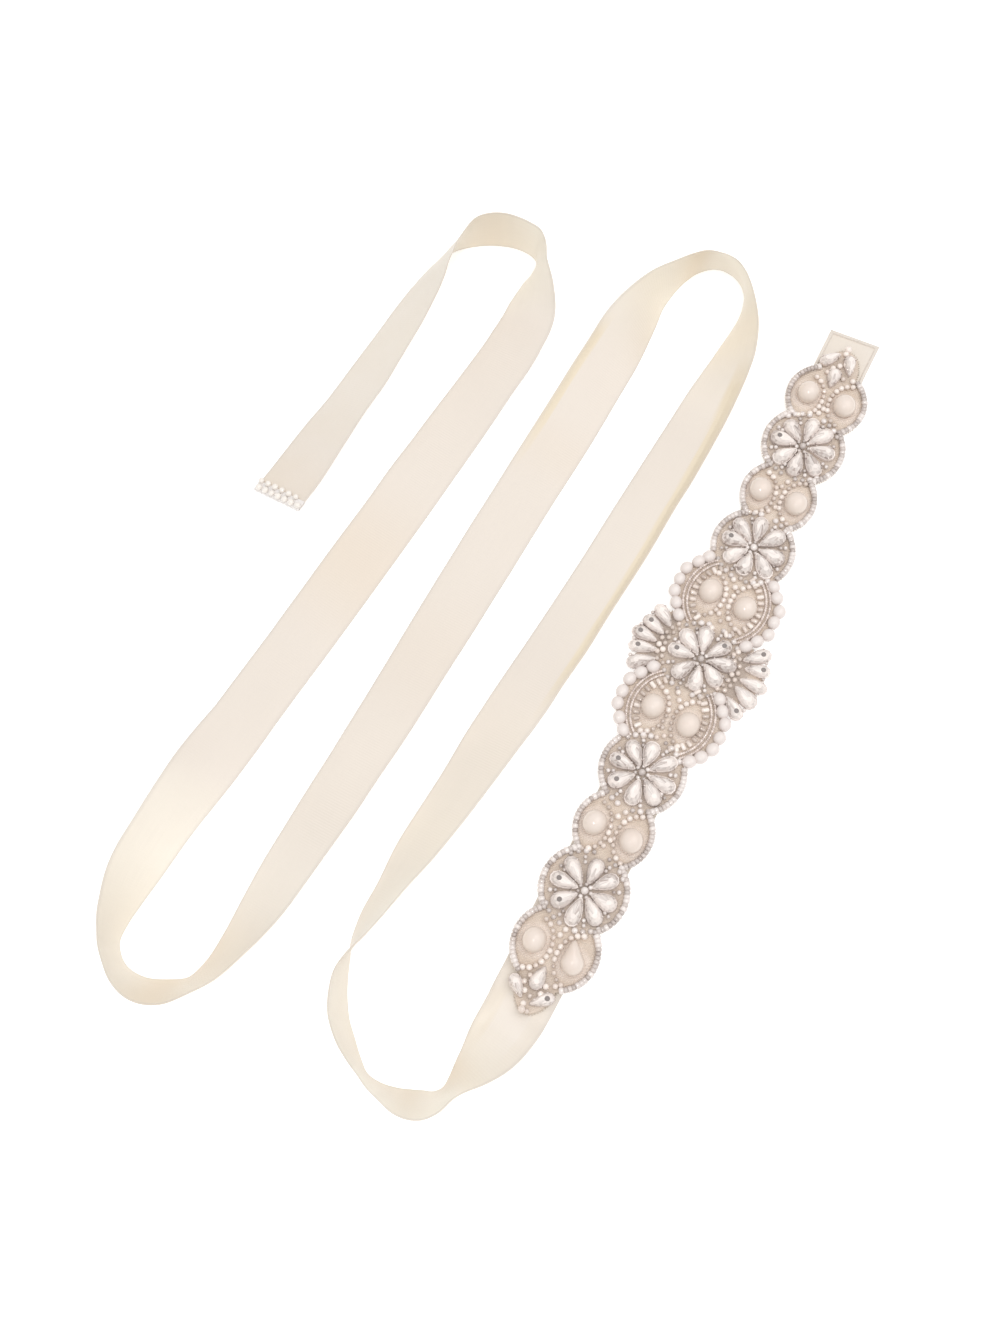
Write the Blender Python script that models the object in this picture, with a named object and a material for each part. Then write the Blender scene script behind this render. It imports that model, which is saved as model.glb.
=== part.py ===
"""Bridal sash: a long satin ribbon laid in loose turns on a table, with a beaded applique
sewn over its last stretch, a bound free end, and a short hemmed tab at the other end.

The ribbon's route is a table of stations for each stretch. A smooth curve runs through the
stations, and the ribbon's section is carried along it, so that the ribbon lies flat in the
runs and stands on edge in the turns. The applique is set out in its own frame: u runs along
the ribbon towards the tab and v across it.

Route, sizes and heights are in millimetres. The objects are made in metres, +Z up, on z = 0."""

import math
from collections import namedtuple

import bmesh
import bpy
from mathutils import Vector

MM = 0.001

# Ribbon
RIBBON_WIDTH = 25.4
RIBBON_WALL = 1.0
EDGE_STRIP = 4.8  # the strip along each edge that may curl up
SEAM_GAP = 0.3
BINDING_LENGTH = 5.0
BINDING_WALL = 1.6
TAB_WIDTH = 22.4
TAB_INNER_END = 149.0  # along u
TAB_OUTER_END = 167.5
TAB_SHIFT = 0.6  # the tab lies a little to the left of the applique's middle line
TAB_SLANT = 0.8  # how far each corner of the cut end is off square
HEM_WIDTH = 1.6
HEM_RISE = 0.6

# Route of the ribbon's centre line. roll is how far the right edge, seen along the route, is
# turned up: 0 lies first face up, 90 stands on edge, 180 lies other face up. left and right
# are how far the edge strips curl up from a ribbon that lies flat. Angles are in degrees.
Station = namedtuple("Station", "x y roll left right")
Stretch = namedtuple("Stretch", "name rings stations")

ROUTE = (
    Stretch("ribbon_run_1", 15, (
        Station(-94.8, 72.2, 18, 0, 0),
        Station(-85.0, 87.2, 19, 0, 0),
        Station(-76.0, 101.5, 24, 0, 0),
        Station(-66.5, 116.0, 30, 0, 0),
        Station(-57.5, 130.0, 32, 0, 0),
    )),
    Stretch("ribbon_turn_1", 34, (
        Station(-49.0, 144.5, 37, 0, 0),
        Station(-40.2, 159.4, 39, 0, 0),
        Station(-32.1, 174.4, 48, 0, 0),
        Station(-28.3, 182.1, 58, 0, 0),
        Station(-23.7, 189.2, 66, 0, 0),
        Station(-17.8, 194.6, 74, 0, 0),
        Station(-10.4, 198.6, 85, 0, 0),
        Station(-2.3, 200.1, 89, 0, 0),
        Station(6.0, 199.2, 90, 0, 0),
        Station(13.2, 195.6, 90, 0, 0),
        Station(16.8, 191.6, 93, 0, 0),
        Station(17.2, 187.0, 100, 0, 0),
        Station(15.0, 178.1, 117, 0, 0),
        Station(14.0, 169.1, 139, 0, 0),
        Station(12.4, 160.2, 158, 0, 0),
    )),
    Stretch("ribbon_run_2", 18, (
        Station(6.9, 149.1, 167, 0, 0),
        Station(-6.5, 127.6, 171, 0, 0),
        Station(-24.1, 101.0, 179, 0, 0),
        Station(-43.0, 71.2, 184, 0, 0),
        Station(-61.8, 42.1, 184, 0, 0),
        Station(-86.3, 4.8, 180, 0, 0),
    )),
    Stretch("ribbon_turn_2", 36, (
        Station(-105.4, -24.2, 182, 0, 0),
        Station(-114.2, -38.0, 193, 0, 0),
        Station(-122.0, -52.0, 212, 0, 0),
        Station(-130.6, -67.0, 223, 0, 0),
        Station(-138.4, -81.3, 231, 0, 0),
        Station(-144.8, -96.2, 246, 0, 0),
        Station(-147.2, -104.5, 256, 0, 0),
        Station(-147.8, -113.1, 265, 0, 0),
        Station(-145.2, -121.2, 263, 0, 0),
        Station(-140.6, -127.0, 254, 0, 0),
        Station(-134.0, -131.0, 246, 0, 0),
        Station(-125.4, -131.9, 243, 0, 0),
        Station(-117.3, -129.7, 246, 0, 0),
        Station(-110.7, -125.0, 241, 0, 0),
        Station(-100.1, -112.5, 231, 0, 0),
    )),
    Stretch("ribbon_run_3", 18, (
        Station(-91.5, -99.6, 220, 0, 0),
        Station(-82.3, -83.6, 210, 0, 0),
        Station(-65.2, -55.2, 203, 0, 0),
        Station(-43.4, -17.9, 195, 0, 0),
        Station(-21.4, 21.3, 186, 0, 0),
        Station(-2.0, 55.5, 180, 0, 0),
        Station(12.5, 80.5, 178, 0, 0),
    )),
    Stretch("ribbon_turn_3", 40, (
        Station(28.5, 107.0, 170, 0, 20),
        Station(41.3, 129.3, 163, 0, 26),
        Station(49.6, 143.3, 156, 0, 20),
        Station(56.6, 153.9, 142, 0, 0),
        Station(63.2, 162.2, 125, 0, 0),
        Station(69.6, 169.6, 108, 0, 0),
        Station(76.5, 175.4, 95, 0, 0),
        Station(83.6, 180.5, 84, 0, 0),
        Station(90.4, 184.0, 77, 0, 0),
        Station(98.0, 184.3, 72, 0, 0),
        Station(103.8, 180.0, 73, 0, 0),
        Station(107.0, 173.0, 79, 0, 0),
        Station(107.6, 164.7, 92, 0, 0),
        Station(106.3, 155.7, 107, 0, 0),
        Station(104.2, 147.0, 121, 0, 0),
        Station(101.4, 138.9, 132, 0, 0),
    )),
    Stretch("ribbon_run_4", 22, (
        Station(98.0, 131.2, 142, 0, 12),
        Station(90.5, 117.2, 156, 0, 28),
        Station(78.6, 96.5, 164, 0, 38),
        Station(62.4, 69.9, 168, 0, 40),
        Station(42.7, 37.4, 167, 0, 38),
        Station(22.5, 5.9, 162, 0, 22),
        Station(1.8, -25.4, 157, 0, 0),
        Station(-13.2, -48.8, 147, 0, 0),
    )),
    Stretch("ribbon_turn_4", 32, (
        Station(-23.5, -64.3, 141, 0, 0),
        Station(-33.1, -78.6, 133, 0, 0),
        Station(-42.0, -92.0, 121, 0, 0),
        Station(-51.0, -106.2, 111, 0, 0),
        Station(-54.9, -113.3, 104, 0, 0),
        Station(-57.4, -119.2, 93, 0, 0),
        Station(-59.4, -125.0, 84, 0, 0),
        Station(-60.5, -133.0, 79, 0, 0),
        Station(-60.2, -141.0, 77, 0, 0),
        Station(-57.4, -149.3, 78, 0, 0),
    )),
    Stretch("ribbon_turn_5", 28, (
        Station(-54.0, -156.0, 83, 0, 0),
        Station(-50.9, -160.9, 86, 0, 0),
        Station(-46.8, -165.1, 81, 0, 0),
        Station(-41.4, -168.7, 74, 0, 0),
        Station(-36.0, -171.3, 67, 0, 0),
        Station(-29.9, -172.3, 65, 0, 0),
        Station(-24.0, -171.5, 70, 0, 0),
        Station(-19.3, -168.8, 74, 0, 0),
        Station(-15.5, -165.3, 68, 0, 0),
    )),
    Stretch("ribbon_run_5", 26, (
        Station(-11.8, -161.7, 58, 0, 0),
        Station(-8.0, -157.8, 48, 0, 0),
        Station(-3.0, -152.0, 32, 10, 5),
        Station(2.8, -143.8, 14, 30, 10),
        Station(7.0, -136.4, 0, 22, 8),
        Station(10.4, -130.2, 0, 0, 0),
        Station(28.5, -95.6, 0, 0, 0),
    )),
)
UNDER_APPLIQUE_RINGS = 10

# The route's own zero to the middle of the sash's bounding box
ORIGIN = (8.1, 11.3)

# Applique, in its own frame
APPLIQUE_CENTRE = (81.4, 3.0)
APPLIQUE_HEADING = 62.9
BACKING_BOTTOM = RIBBON_WALL + SEAM_GAP
BACKING_WALL = 1.2
BEAD_BASE = BACKING_BOTTOM + BACKING_WALL + SEAM_GAP  # where stones and pearls sit
BACKING_STEPS = 92
BACKING_BLUNTING = 0.3  # cut off each tip, which would be too sharp to hold

# The outline of half of the backing, as the ovals that it is the sum of: centre, half length
# and half width
Lobe = namedtuple("Lobe", "u half_u half_v")
LOBES = (
    Lobe(0.0, 19.0, 28.5),
    Lobe(28.0, 19.0, 23.0),
    Lobe(54.0, 18.0, 18.0),
    Lobe(80.5, 16.6, 16.6),
    Lobe(107.0, 18.2, 18.2),
    Lobe(132.0, 17.5, 18.0),
    Lobe(147.4, 12.6, 8.6),
)

# Stones
Flower = namedtuple("Flower", "name u v turn")  # turn is how far it is sewn off square
FLOWERS = (
    Flower("flower_lower_2", -107.3, -0.4, 2), Flower("flower_lower_1", -54.6, 0.0, 0),
    Flower("flower_middle", -0.6, -1.0, 9), Flower("flower_upper_1", 54.2, -0.2, 4),
    Flower("flower_upper_2", 106.6, 0.2, 5),
)
PETALS = 8
PETAL_LENGTH = 10.9
PETAL_WIDTH = 6.0
PETAL_INNER = 3.1
FLOWER_PLATE_RADIUS = 11.0
Pearl = namedtuple("Pearl", "name u v")
PEARLS = (
    Pearl("pearl_lower_3_left", -133.2, 8.6), Pearl("pearl_lower_3_right", -134.2, -8.2),
    Pearl("pearl_lower_2_left", -81.6, 8.0), Pearl("pearl_lower_2_right", -81.8, -8.0),
    Pearl("pearl_lower_1_left", -28.0, 7.8), Pearl("pearl_lower_1_right", -28.8, -8.0),
    Pearl("pearl_upper_1_left", 27.8, 7.8), Pearl("pearl_upper_1_right", 27.2, -8.1),
    Pearl("pearl_upper_2_left", 79.5, 8.1), Pearl("pearl_upper_2_right", 80.0, -7.9),
    Pearl("pearl_upper_3_left", 131.0, 8.3), Pearl("pearl_upper_3_right", 131.8, -8.2),
)
PEARL_RADIUS = 5.0
PEARL_RISE = 4.3  # from its middle to its top
PEARL_CENTRE_HEIGHT = 2.6
SCALLOP = (
    (14.9, 15.5), (18.3, 18.7), (22.7, 20.9), (27.6, 21.6), (32.6, 20.9), (37.3, 18.5),
    (41.4, 15.2),
)
SCALLOP_BEAD = (2.25, 2.35, 2.2)  # half sizes along the row, across it and up
# u and v are where the drop's point is, and angle is where its round end lies from there
Drop = namedtuple("Drop", "u v angle length width")
FANS = {
    "fan_left": (Drop(-8.7, 15.8, 124, 12.0, 5.2), Drop(-5.0, 16.8, 105, 12.2, 4.8),
                 Drop(-1.6, 18.8, 87, 11.0, 5.2), Drop(2.2, 17.3, 71, 11.2, 5.2),
                 Drop(6.8, 16.3, 57, 10.8, 5.2)),
    "fan_right": (Drop(-10.4, -17.6, -122, 10.8, 5.2), Drop(-5.0, -19.2, -113, 11.0, 6.0),
                  Drop(-1.2, -19.3, -88, 11.4, 5.0), Drop(4.0, -19.6, -73, 10.2, 5.0),
                  Drop(7.0, -17.3, -51, 11.6, 5.4)),
}
FINIALS = {
    "finial_upper": (Drop(138.8, 1.0, 6, 9.0, 5.6), Drop(147.6, -4.2, 20, 9.2, 4.8),
                     Drop(155.2, 3.2, 140, 9.2, 4.7)),
    "finial_lower": (Drop(-140.4, 0.2, 176, 9.2, 5.4), Drop(-154.4, 3.6, 46, 8.8, 4.7),
                     Drop(-155.2, -0.8, -48, 9.4, 4.6)),
}
FINIAL_TIPS = {"finial_upper": (158.0, 1.0), "finial_lower": (-157.8, 1.2)}
BORDER_INSET = 0.3
BORDER_WIDTH = 2.3
BORDER_HEIGHT = 2.0
BORDER_FROM, BORDER_TO = 46.0, 145.5
BORDER_STEPS = 34
PLATE_WALL = 0.8
STONE_SINK = 0.3  # from the plate's underside up to the stones' feet, inside the plate
STONE_HEIGHT = 3.0


# ---------------------------------------------------------------- scene and materials

def clear_scene():
    for obj in list(bpy.data.objects):
        bpy.data.objects.remove(obj, do_unlink=True)


def material(name, colour, roughness, metallic=0.0, transmission=0.0):
    mat = bpy.data.materials.new(name)
    mat.use_nodes = True
    shader = mat.node_tree.nodes["Principled BSDF"]
    shader.inputs["Base Color"].default_value = (*colour, 1.0)
    shader.inputs["Roughness"].default_value = roughness
    shader.inputs["Metallic"].default_value = metallic
    shader.inputs["Transmission Weight"].default_value = transmission
    return mat


def add_object(name, mesh, mat):
    """A named object with its round faces shaded smooth."""
    obj = bpy.data.objects.new(name, mesh)
    bpy.context.scene.collection.objects.link(obj)
    if not mesh.materials:
        mesh.materials.append(mat)
    mesh.shade_smooth()
    mesh.set_sharp_from_angle(angle=math.radians(35))
    return obj


def mesh_of(name, points, faces):
    """A mesh in metres, about the sash's origin, from points in millimetres."""
    origin = Vector((*ORIGIN, 0))
    mesh = bpy.data.meshes.new(name)
    mesh.from_pydata([(Vector(p) - origin) * MM for p in points], [], faces)
    mesh.update()
    return mesh


# ---------------------------------------------------------------- solids from rings

def skin(rings, first=0):
    """Faces between rings of equal length, each a closed loop, with a cap at both ends."""
    count = len(rings[0])
    faces = []
    for i in range(len(rings) - 1):
        near, far = first + i * count, first + (i + 1) * count
        for j in range(count):
            k = (j + 1) % count
            faces.append((near + j, near + k, far + k, far + j))
    faces.append(tuple(first + j for j in reversed(range(count))))
    last = first + (len(rings) - 1) * count
    faces.append(tuple(last + j for j in range(count)))
    return faces


def solid_mesh(name, ring_sets):
    """One mesh from several sets of rings, with its faces turned outwards."""
    points, faces = [], []
    for rings in ring_sets:
        faces += skin(rings, len(points))
        points += [p for ring in rings for p in ring]
    mesh = mesh_of(name, points, faces)
    work = bmesh.new()
    work.from_mesh(mesh)
    bmesh.ops.recalc_face_normals(work, faces=work.faces)
    work.to_mesh(mesh)
    work.free()
    return mesh


def fused_mesh(name, base_rings, piece_ring_sets):
    """A base plate and the pieces that stand in it, joined into one closed body."""
    base = bpy.data.objects.new(name + "_base", solid_mesh(name + "_base", [base_rings]))
    pieces = bpy.data.objects.new(name + "_pieces", solid_mesh(name + "_pieces", piece_ring_sets))
    for obj in (base, pieces):
        bpy.context.scene.collection.objects.link(obj)
    union = base.modifiers.new("join", "BOOLEAN")
    union.operation = "UNION"
    union.solver = "EXACT"
    union.object = pieces
    bpy.context.view_layer.update()
    graph = bpy.context.evaluated_depsgraph_get()
    mesh = bpy.data.meshes.new_from_object(base.evaluated_get(graph))
    for obj in (base, pieces):
        bpy.data.objects.remove(obj, do_unlink=True)
    return mesh


# ---------------------------------------------------------------- ribbon

def station_values(station):
    return (station.x, station.y, station.roll, station.left, station.right)


class Route:
    """The smooth curve through the stations of all stretches, measured along its chords."""

    def __init__(self, stretches):
        self.points = [station_values(s) for stretch in stretches for s in stretch.stations]
        self.at = [0.0]
        for a, b in zip(self.points, self.points[1:]):
            self.at.append(self.at[-1] + math.hypot(b[0] - a[0], b[1] - a[1]))
        self.starts = []
        first = 0
        for stretch in stretches:
            self.starts.append(self.at[first])
            first += len(stretch.stations)
        self.starts.append(self.at[-1])

    def slope(self, i):
        """How fast each value changes at a station, from its two neighbours."""
        low, high = max(i - 1, 0), min(i + 1, len(self.points) - 1)
        if low == i or high == i:
            span = self.at[high] - self.at[low]
            return [(b - a) / span for a, b in zip(self.points[low], self.points[high])]
        before, after = self.at[i] - self.at[low], self.at[high] - self.at[i]
        slopes = []
        for n, (a, p, b) in enumerate(zip(*(self.points[k] for k in (low, i, high)))):
            first, then = (p - a) / before, (b - p) / after
            turning_back = first * then <= 0
            is_angle = n >= 2
            # An angle that has reached its highest or lowest value doesn't swing past it.
            if is_angle and turning_back:
                slopes.append(0.0)
            else:
                slopes.append((first * after + then * before) / (before + after))
        return slopes

    def value(self, at):
        """x, y, roll, left and right at a distance along the route."""
        i = 0
        while i < len(self.at) - 2 and at > self.at[i + 1]:
            i += 1
        span = self.at[i + 1] - self.at[i]
        t = (at - self.at[i]) / span
        start, end = (2 * t**3 - 3 * t**2 + 1), (3 * t**2 - 2 * t**3)
        leave, arrive = (t**3 - 2 * t**2 + t) * span, (t**3 - t**2) * span
        rows = zip(self.points[i], self.points[i + 1], self.slope(i), self.slope(i + 1))
        return [a * start + b * end + m * leave + n * arrive for a, b, m, n in rows]

    def heading(self, at):
        """The direction of travel, level, as a unit vector."""
        step = 0.2
        x0, y0 = self.value(at - step)[:2]
        x1, y1 = self.value(at + step)[:2]
        return Vector((x1 - x0, y1 - y0, 0)).normalized()


def section_line(width, strip, left, right):
    """The ribbon's section as (across, up) points: two edge strips that may curl, and the
    flat between them."""
    flat = width / 2 - strip
    return [
        Vector((-flat - strip * math.cos(left), strip * math.sin(left))),
        Vector((-flat, 0)),
        Vector((flat, 0)),
        Vector((flat + strip * math.cos(right), strip * math.sin(right))),
    ]


def offset_line(line, distance):
    """The section moved to one side by a distance, with its corners mitred."""
    normals = []
    for a, b in zip(line, line[1:]):
        along = (b - a).normalized()
        normals.append(Vector((-along.y, along.x)))
    moved = []
    for i, point in enumerate(line):
        before, after = normals[max(i - 1, 0)], normals[min(i, len(normals) - 1)]
        mitre = (before + after).normalized()
        moved.append(point + mitre * (distance / mitre.dot(before)))
    return moved


def ribbon_ring(centre, heading, roll, left, right, width=RIBBON_WIDTH, wall=RIBBON_WALL):
    """The closed section of the ribbon at a point of its route, resting on z = 0."""
    roll, left, right = (math.radians(a) for a in (roll, left, right))
    face = math.cos(roll)
    line = section_line(width, EDGE_STRIP, left * face, right * face)
    section = offset_line(line, wall / 2) + list(reversed(offset_line(line, -wall / 2)))
    side = Vector((heading.y, -heading.x, 0))
    up = Vector((0, 0, 1))
    across = side * math.cos(roll) + up * math.sin(roll)
    normal = up * math.cos(roll) - side * math.sin(roll)
    ring = [Vector((*centre, 0)) + across * p.x + normal * p.y for p in section]
    lowest = min(p.z for p in ring)
    return [p - up * lowest for p in ring]


def route_ring(route, at, **sizes):
    x, y, roll, left, right = route.value(at)
    return ribbon_ring((x, y), route.heading(at), roll, left, right, **sizes)


def make_ribbon(route, satin):
    starts = [BINDING_LENGTH] + route.starts[1:]
    for stretch, start, end in zip(ROUTE, starts, starts[1:]):
        first, last = start + SEAM_GAP / 2, end - SEAM_GAP / 2
        step = (last - first) / (stretch.rings - 1)
        rings = [route_ring(route, first + step * i) for i in range(stretch.rings)]
        add_object(stretch.name, solid_mesh(stretch.name, [rings]), satin)


def make_binding(route, net):
    """The band that closes the ribbon's free end."""
    last = BINDING_LENGTH - SEAM_GAP / 2
    rings = [route_ring(route, at, wall=BINDING_WALL) for at in (0, last / 2, last)]
    add_object("free_end_binding", solid_mesh("free_end_binding", [rings]), net)


# ---------------------------------------------------------------- applique

def placed(u, v, z):
    """A point of the applique's frame in the sash's frame."""
    turn = math.radians(APPLIQUE_HEADING)
    x = APPLIQUE_CENTRE[0] + u * math.cos(turn) - v * math.sin(turn)
    y = APPLIQUE_CENTRE[1] + u * math.sin(turn) + v * math.cos(turn)
    return Vector((x, y, z))


def placed_rings(rings):
    return [[placed(*p) for p in ring] for ring in rings]


def half_width(u, inset=0.0):
    """How far the backing reaches to each side at u, less an inset."""
    reach = 0.0
    for lobe in LOBES:
        along = (abs(u) - lobe.u) / (lobe.half_u - inset)
        if abs(along) < 1:
            reach = max(reach, (lobe.half_v - inset) * math.sqrt(1 - along * along))
    return reach


def spaced_by_cosine(low, high, count):
    """Values from low to high, closer together near both ends."""
    middle, half = (low + high) / 2, (high - low) / 2
    return [middle - half * math.cos(math.pi * i / (count - 1)) for i in range(count)]


def make_under_applique(satin):
    """The ribbon's straight stretch below the applique, which narrows to the tab."""
    start = Vector(station_values(ROUTE[-1].stations[-1])[:2])
    heading = Vector((math.cos(math.radians(APPLIQUE_HEADING)),
                      math.sin(math.radians(APPLIQUE_HEADING)), 0))
    centre = Vector(APPLIQUE_CENTRE)
    first_u = (start - centre).dot(heading.xy) + SEAM_GAP / 2
    last_u = TAB_INNER_END - SEAM_GAP
    rings = []
    for i in range(UNDER_APPLIQUE_RINGS):
        share = i / (UNDER_APPLIQUE_RINGS - 1)
        u = first_u + (last_u - first_u) * share
        width = RIBBON_WIDTH + (TAB_WIDTH - RIBBON_WIDTH) * share
        spot = placed(u, TAB_SHIFT * share, 0)
        rings.append(ribbon_ring(spot.xy, heading, 0, 0, 0, width=width))
    name = "ribbon_under_applique"
    add_object(name, solid_mesh(name, [rings]), satin)


def make_tab(satin):
    """The ribbon's short end: one wall with a narrow hem turned up along its three edges."""
    edge, fold = TAB_WIDTH / 2, TAB_WIDTH / 2 - HEM_WIDTH
    low, high = RIBBON_WALL, RIBBON_WALL + HEM_RISE
    hem_start = TAB_OUTER_END - HEM_WIDTH
    rings = []
    for u, floor in ((TAB_INNER_END, low), (hem_start - HEM_RISE / 2, low),
                     (hem_start, high), (TAB_OUTER_END, high)):
        section = (
            (-edge, 0), (edge, 0), (edge, high), (fold, high),
            (fold - HEM_RISE / 2, floor), (HEM_RISE / 2 - fold, floor),
            (-fold, high), (-edge, high),
        )
        slant = TAB_SLANT * (u - TAB_INNER_END) / (TAB_OUTER_END - TAB_INNER_END)
        rings.append([placed(u - slant * v / edge, v + TAB_SHIFT, z) for v, z in section])
    add_object("ribbon_tab", solid_mesh("ribbon_tab", [rings]), satin)


def make_backing(felt):
    tip = LOBES[-1].u + LOBES[-1].half_u
    rings = []
    for i in range(BACKING_STEPS):
        u = (tip - BACKING_BLUNTING) * (2 * i / (BACKING_STEPS - 1) - 1)
        reach = half_width(u)
        low, high = BACKING_BOTTOM, BACKING_BOTTOM + BACKING_WALL
        rings.append([(u, -reach, low), (u, reach, low), (u, reach, high), (u, -reach, high)])
    mesh = solid_mesh("applique_backing", [placed_rings(rings)])
    add_object("applique_backing", mesh, felt)


def make_border(silver, name, end, side):
    """A low round band along the edge of one quarter of the backing."""
    rings = []
    for u in spaced_by_cosine(BORDER_FROM, BORDER_TO, BORDER_STEPS):
        outer = half_width(u, BORDER_INSET)
        inner = half_width(u, BORDER_INSET + BORDER_WIDTH)
        low, shoulder, top = BEAD_BASE, BEAD_BASE + BORDER_HEIGHT * 0.6, BEAD_BASE + BORDER_HEIGHT
        section = (
            (outer, low), (outer, shoulder), ((outer + inner) / 2, top),
            (inner, shoulder), (inner, low),
        )
        rings.append([(end * u, side * v, height) for v, height in section])
    add_object(name, solid_mesh(name, [placed_rings(rings)]), silver)


def stone_rings(outline, base, height):
    """A cut stone: a girdle between a smaller foot and a smaller table."""
    layers = ((0.80, 0.0), (1.0, 0.4), (0.58, 1.0))
    cu = sum(u for u, v in outline) / len(outline)
    cv = sum(v for u, v in outline) / len(outline)
    return [
        [(cu + (u - cu) * size, cv + (v - cv) * size, base + height * rise) for u, v in outline]
        for size, rise in layers
    ]


def turned(points, angle, centre=(0.0, 0.0)):
    """Points turned round (0, 0) by an angle in degrees and moved to a centre."""
    c, s = math.cos(math.radians(angle)), math.sin(math.radians(angle))
    return [(centre[0] + u * c - v * s, centre[1] + u * s + v * c) for u, v in points]


def pear_outline(inner, length, width, sides=8):
    """A drop along +u whose point is at inner."""
    points = []
    for i in range(sides):
        angle = 2 * math.pi * (i + 0.5) / sides
        along = (1 - math.cos(angle)) / 2
        swell = math.sin(angle) * (0.35 + 0.65 * along)
        points.append((inner + length * along, width / 2 * swell / 0.78))
    return points


def ball_rings(centre, half, base, sides=8, levels=3):
    """A round bead cut off flat at its base. half gives its half sizes along u, v and z."""
    rise = half[2]
    rings = []
    for i in range(levels + 1):
        lift = -0.45 + (0.94 + 0.45) * i / levels
        size = math.sqrt(max(0.0, 1 - lift * lift))
        z = base + rise * (lift + 0.45)
        rings.append([
            (centre[0] + half[0] * size * math.cos(2 * math.pi * j / sides),
             centre[1] + half[1] * size * math.sin(2 * math.pi * j / sides), z)
            for j in range(sides)
        ])
    return rings


def disc_rings(radius, base, wall, sides=16):
    loop = [(radius * math.cos(2 * math.pi * i / sides), radius * math.sin(2 * math.pi * i / sides))
            for i in range(sides)]
    return [[(u, v, z) for u, v in loop] for z in (base, base + wall)]


def make_flower(crystal, flower):
    """Eight drop stones round a small bead, on one setting."""
    stones = [ball_rings((0, 0), (2.1, 2.1, 2.0), BEAD_BASE + STONE_SINK)]
    for i in range(PETALS):
        outline = turned(pear_outline(PETAL_INNER, PETAL_LENGTH, PETAL_WIDTH),
                         360 / PETALS * i + flower.turn)
        stones.append(stone_rings(outline, BEAD_BASE + STONE_SINK, STONE_HEIGHT))
    base = disc_rings(FLOWER_PLATE_RADIUS, BEAD_BASE, PLATE_WALL)
    moved = [[[(p[0] + flower.u, p[1] + flower.v, p[2]) for p in ring] for ring in rings]
             for rings in [base] + stones]
    whole = [placed_rings(rings) for rings in moved]
    add_object(flower.name, fused_mesh(flower.name, whole[0], whole[1:]), crystal)


def make_pearl(pearl, name, u, v):
    """A large pearl: a ball with a flat seat."""
    sides, levels = 12, 5
    low = -PEARL_CENTRE_HEIGHT / PEARL_RISE
    rings = []
    for i in range(levels + 1):
        lift = low + (0.97 - low) * i / levels
        size = PEARL_RADIUS * math.sqrt(1 - lift * lift)
        z = BEAD_BASE + PEARL_CENTRE_HEIGHT + PEARL_RISE * lift
        rings.append([
            placed(u + size * math.cos(2 * math.pi * j / sides),
                   v + size * math.sin(2 * math.pi * j / sides), z)
            for j in range(sides)
        ])
    add_object(name, solid_mesh(name, [rings]), pearl)


def arc_plate(points, width, base, wall):
    """A thin strip along points that runs from end to end of a row of beads."""
    rings = []
    for i, (u, v) in enumerate(points):
        before, after = points[max(i - 1, 0)], points[min(i + 1, len(points) - 1)]
        along = Vector((after[0] - before[0], after[1] - before[1])).normalized()
        side = Vector((-along.y, along.x)) * (width / 2)
        rings.append([
            (u - side.x, v - side.y, base), (u + side.x, v + side.y, base),
            (u + side.x, v + side.y, base + wall), (u - side.x, v - side.y, base + wall),
        ])
    return rings


def make_fan(crystal, name):
    """Drop stones that spread from the middle flower over the edge."""
    stones, roots = [], []
    for drop in FANS[name]:
        outline = turned(pear_outline(0, drop.length, drop.width), drop.angle, (drop.u, drop.v))
        stones.append(placed_rings(stone_rings(outline, BEAD_BASE + STONE_SINK, STONE_HEIGHT * 0.9)))
        roots += turned([(drop.length * 0.5, 0)], drop.angle, (drop.u, drop.v))
    plate = placed_rings(arc_plate(roots, 5.0, BEAD_BASE, PLATE_WALL))
    add_object(name, fused_mesh(name, plate, stones), crystal)


def make_scallop(pearl, name, end, side):
    """A row of oval beads along the edge beside the fan."""
    beads, middles = [], []
    for u, v in SCALLOP:
        u, v = end * u, side * v
        middles.append((u, v))
        beads.append(placed_rings(ball_rings((u, v), SCALLOP_BEAD, BEAD_BASE + STONE_SINK)))
    plate = placed_rings(arc_plate(middles, 2.4, BEAD_BASE, PLATE_WALL))
    add_object(name, fused_mesh(name, plate, beads), pearl)


def make_finial(crystal, name):
    """Three drop stones and a bead that close one end of the applique."""
    stones = []
    for drop in FINIALS[name]:
        outline = turned(pear_outline(0, drop.length, drop.width), drop.angle, (drop.u, drop.v))
        stones.append(placed_rings(stone_rings(outline, BEAD_BASE + STONE_SINK, STONE_HEIGHT)))
    tip = FINIAL_TIPS[name]
    stones.append(placed_rings(ball_rings(tip, (1.6, 1.6, 1.7), BEAD_BASE + STONE_SINK)))
    end = math.copysign(1, tip[0])
    plate = placed_rings(arc_plate([(end * u, 0.5) for u in (141, 150, 157.6)], 8.6,
                                   BEAD_BASE, PLATE_WALL))
    add_object(name, fused_mesh(name, plate, stones), crystal)


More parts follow.
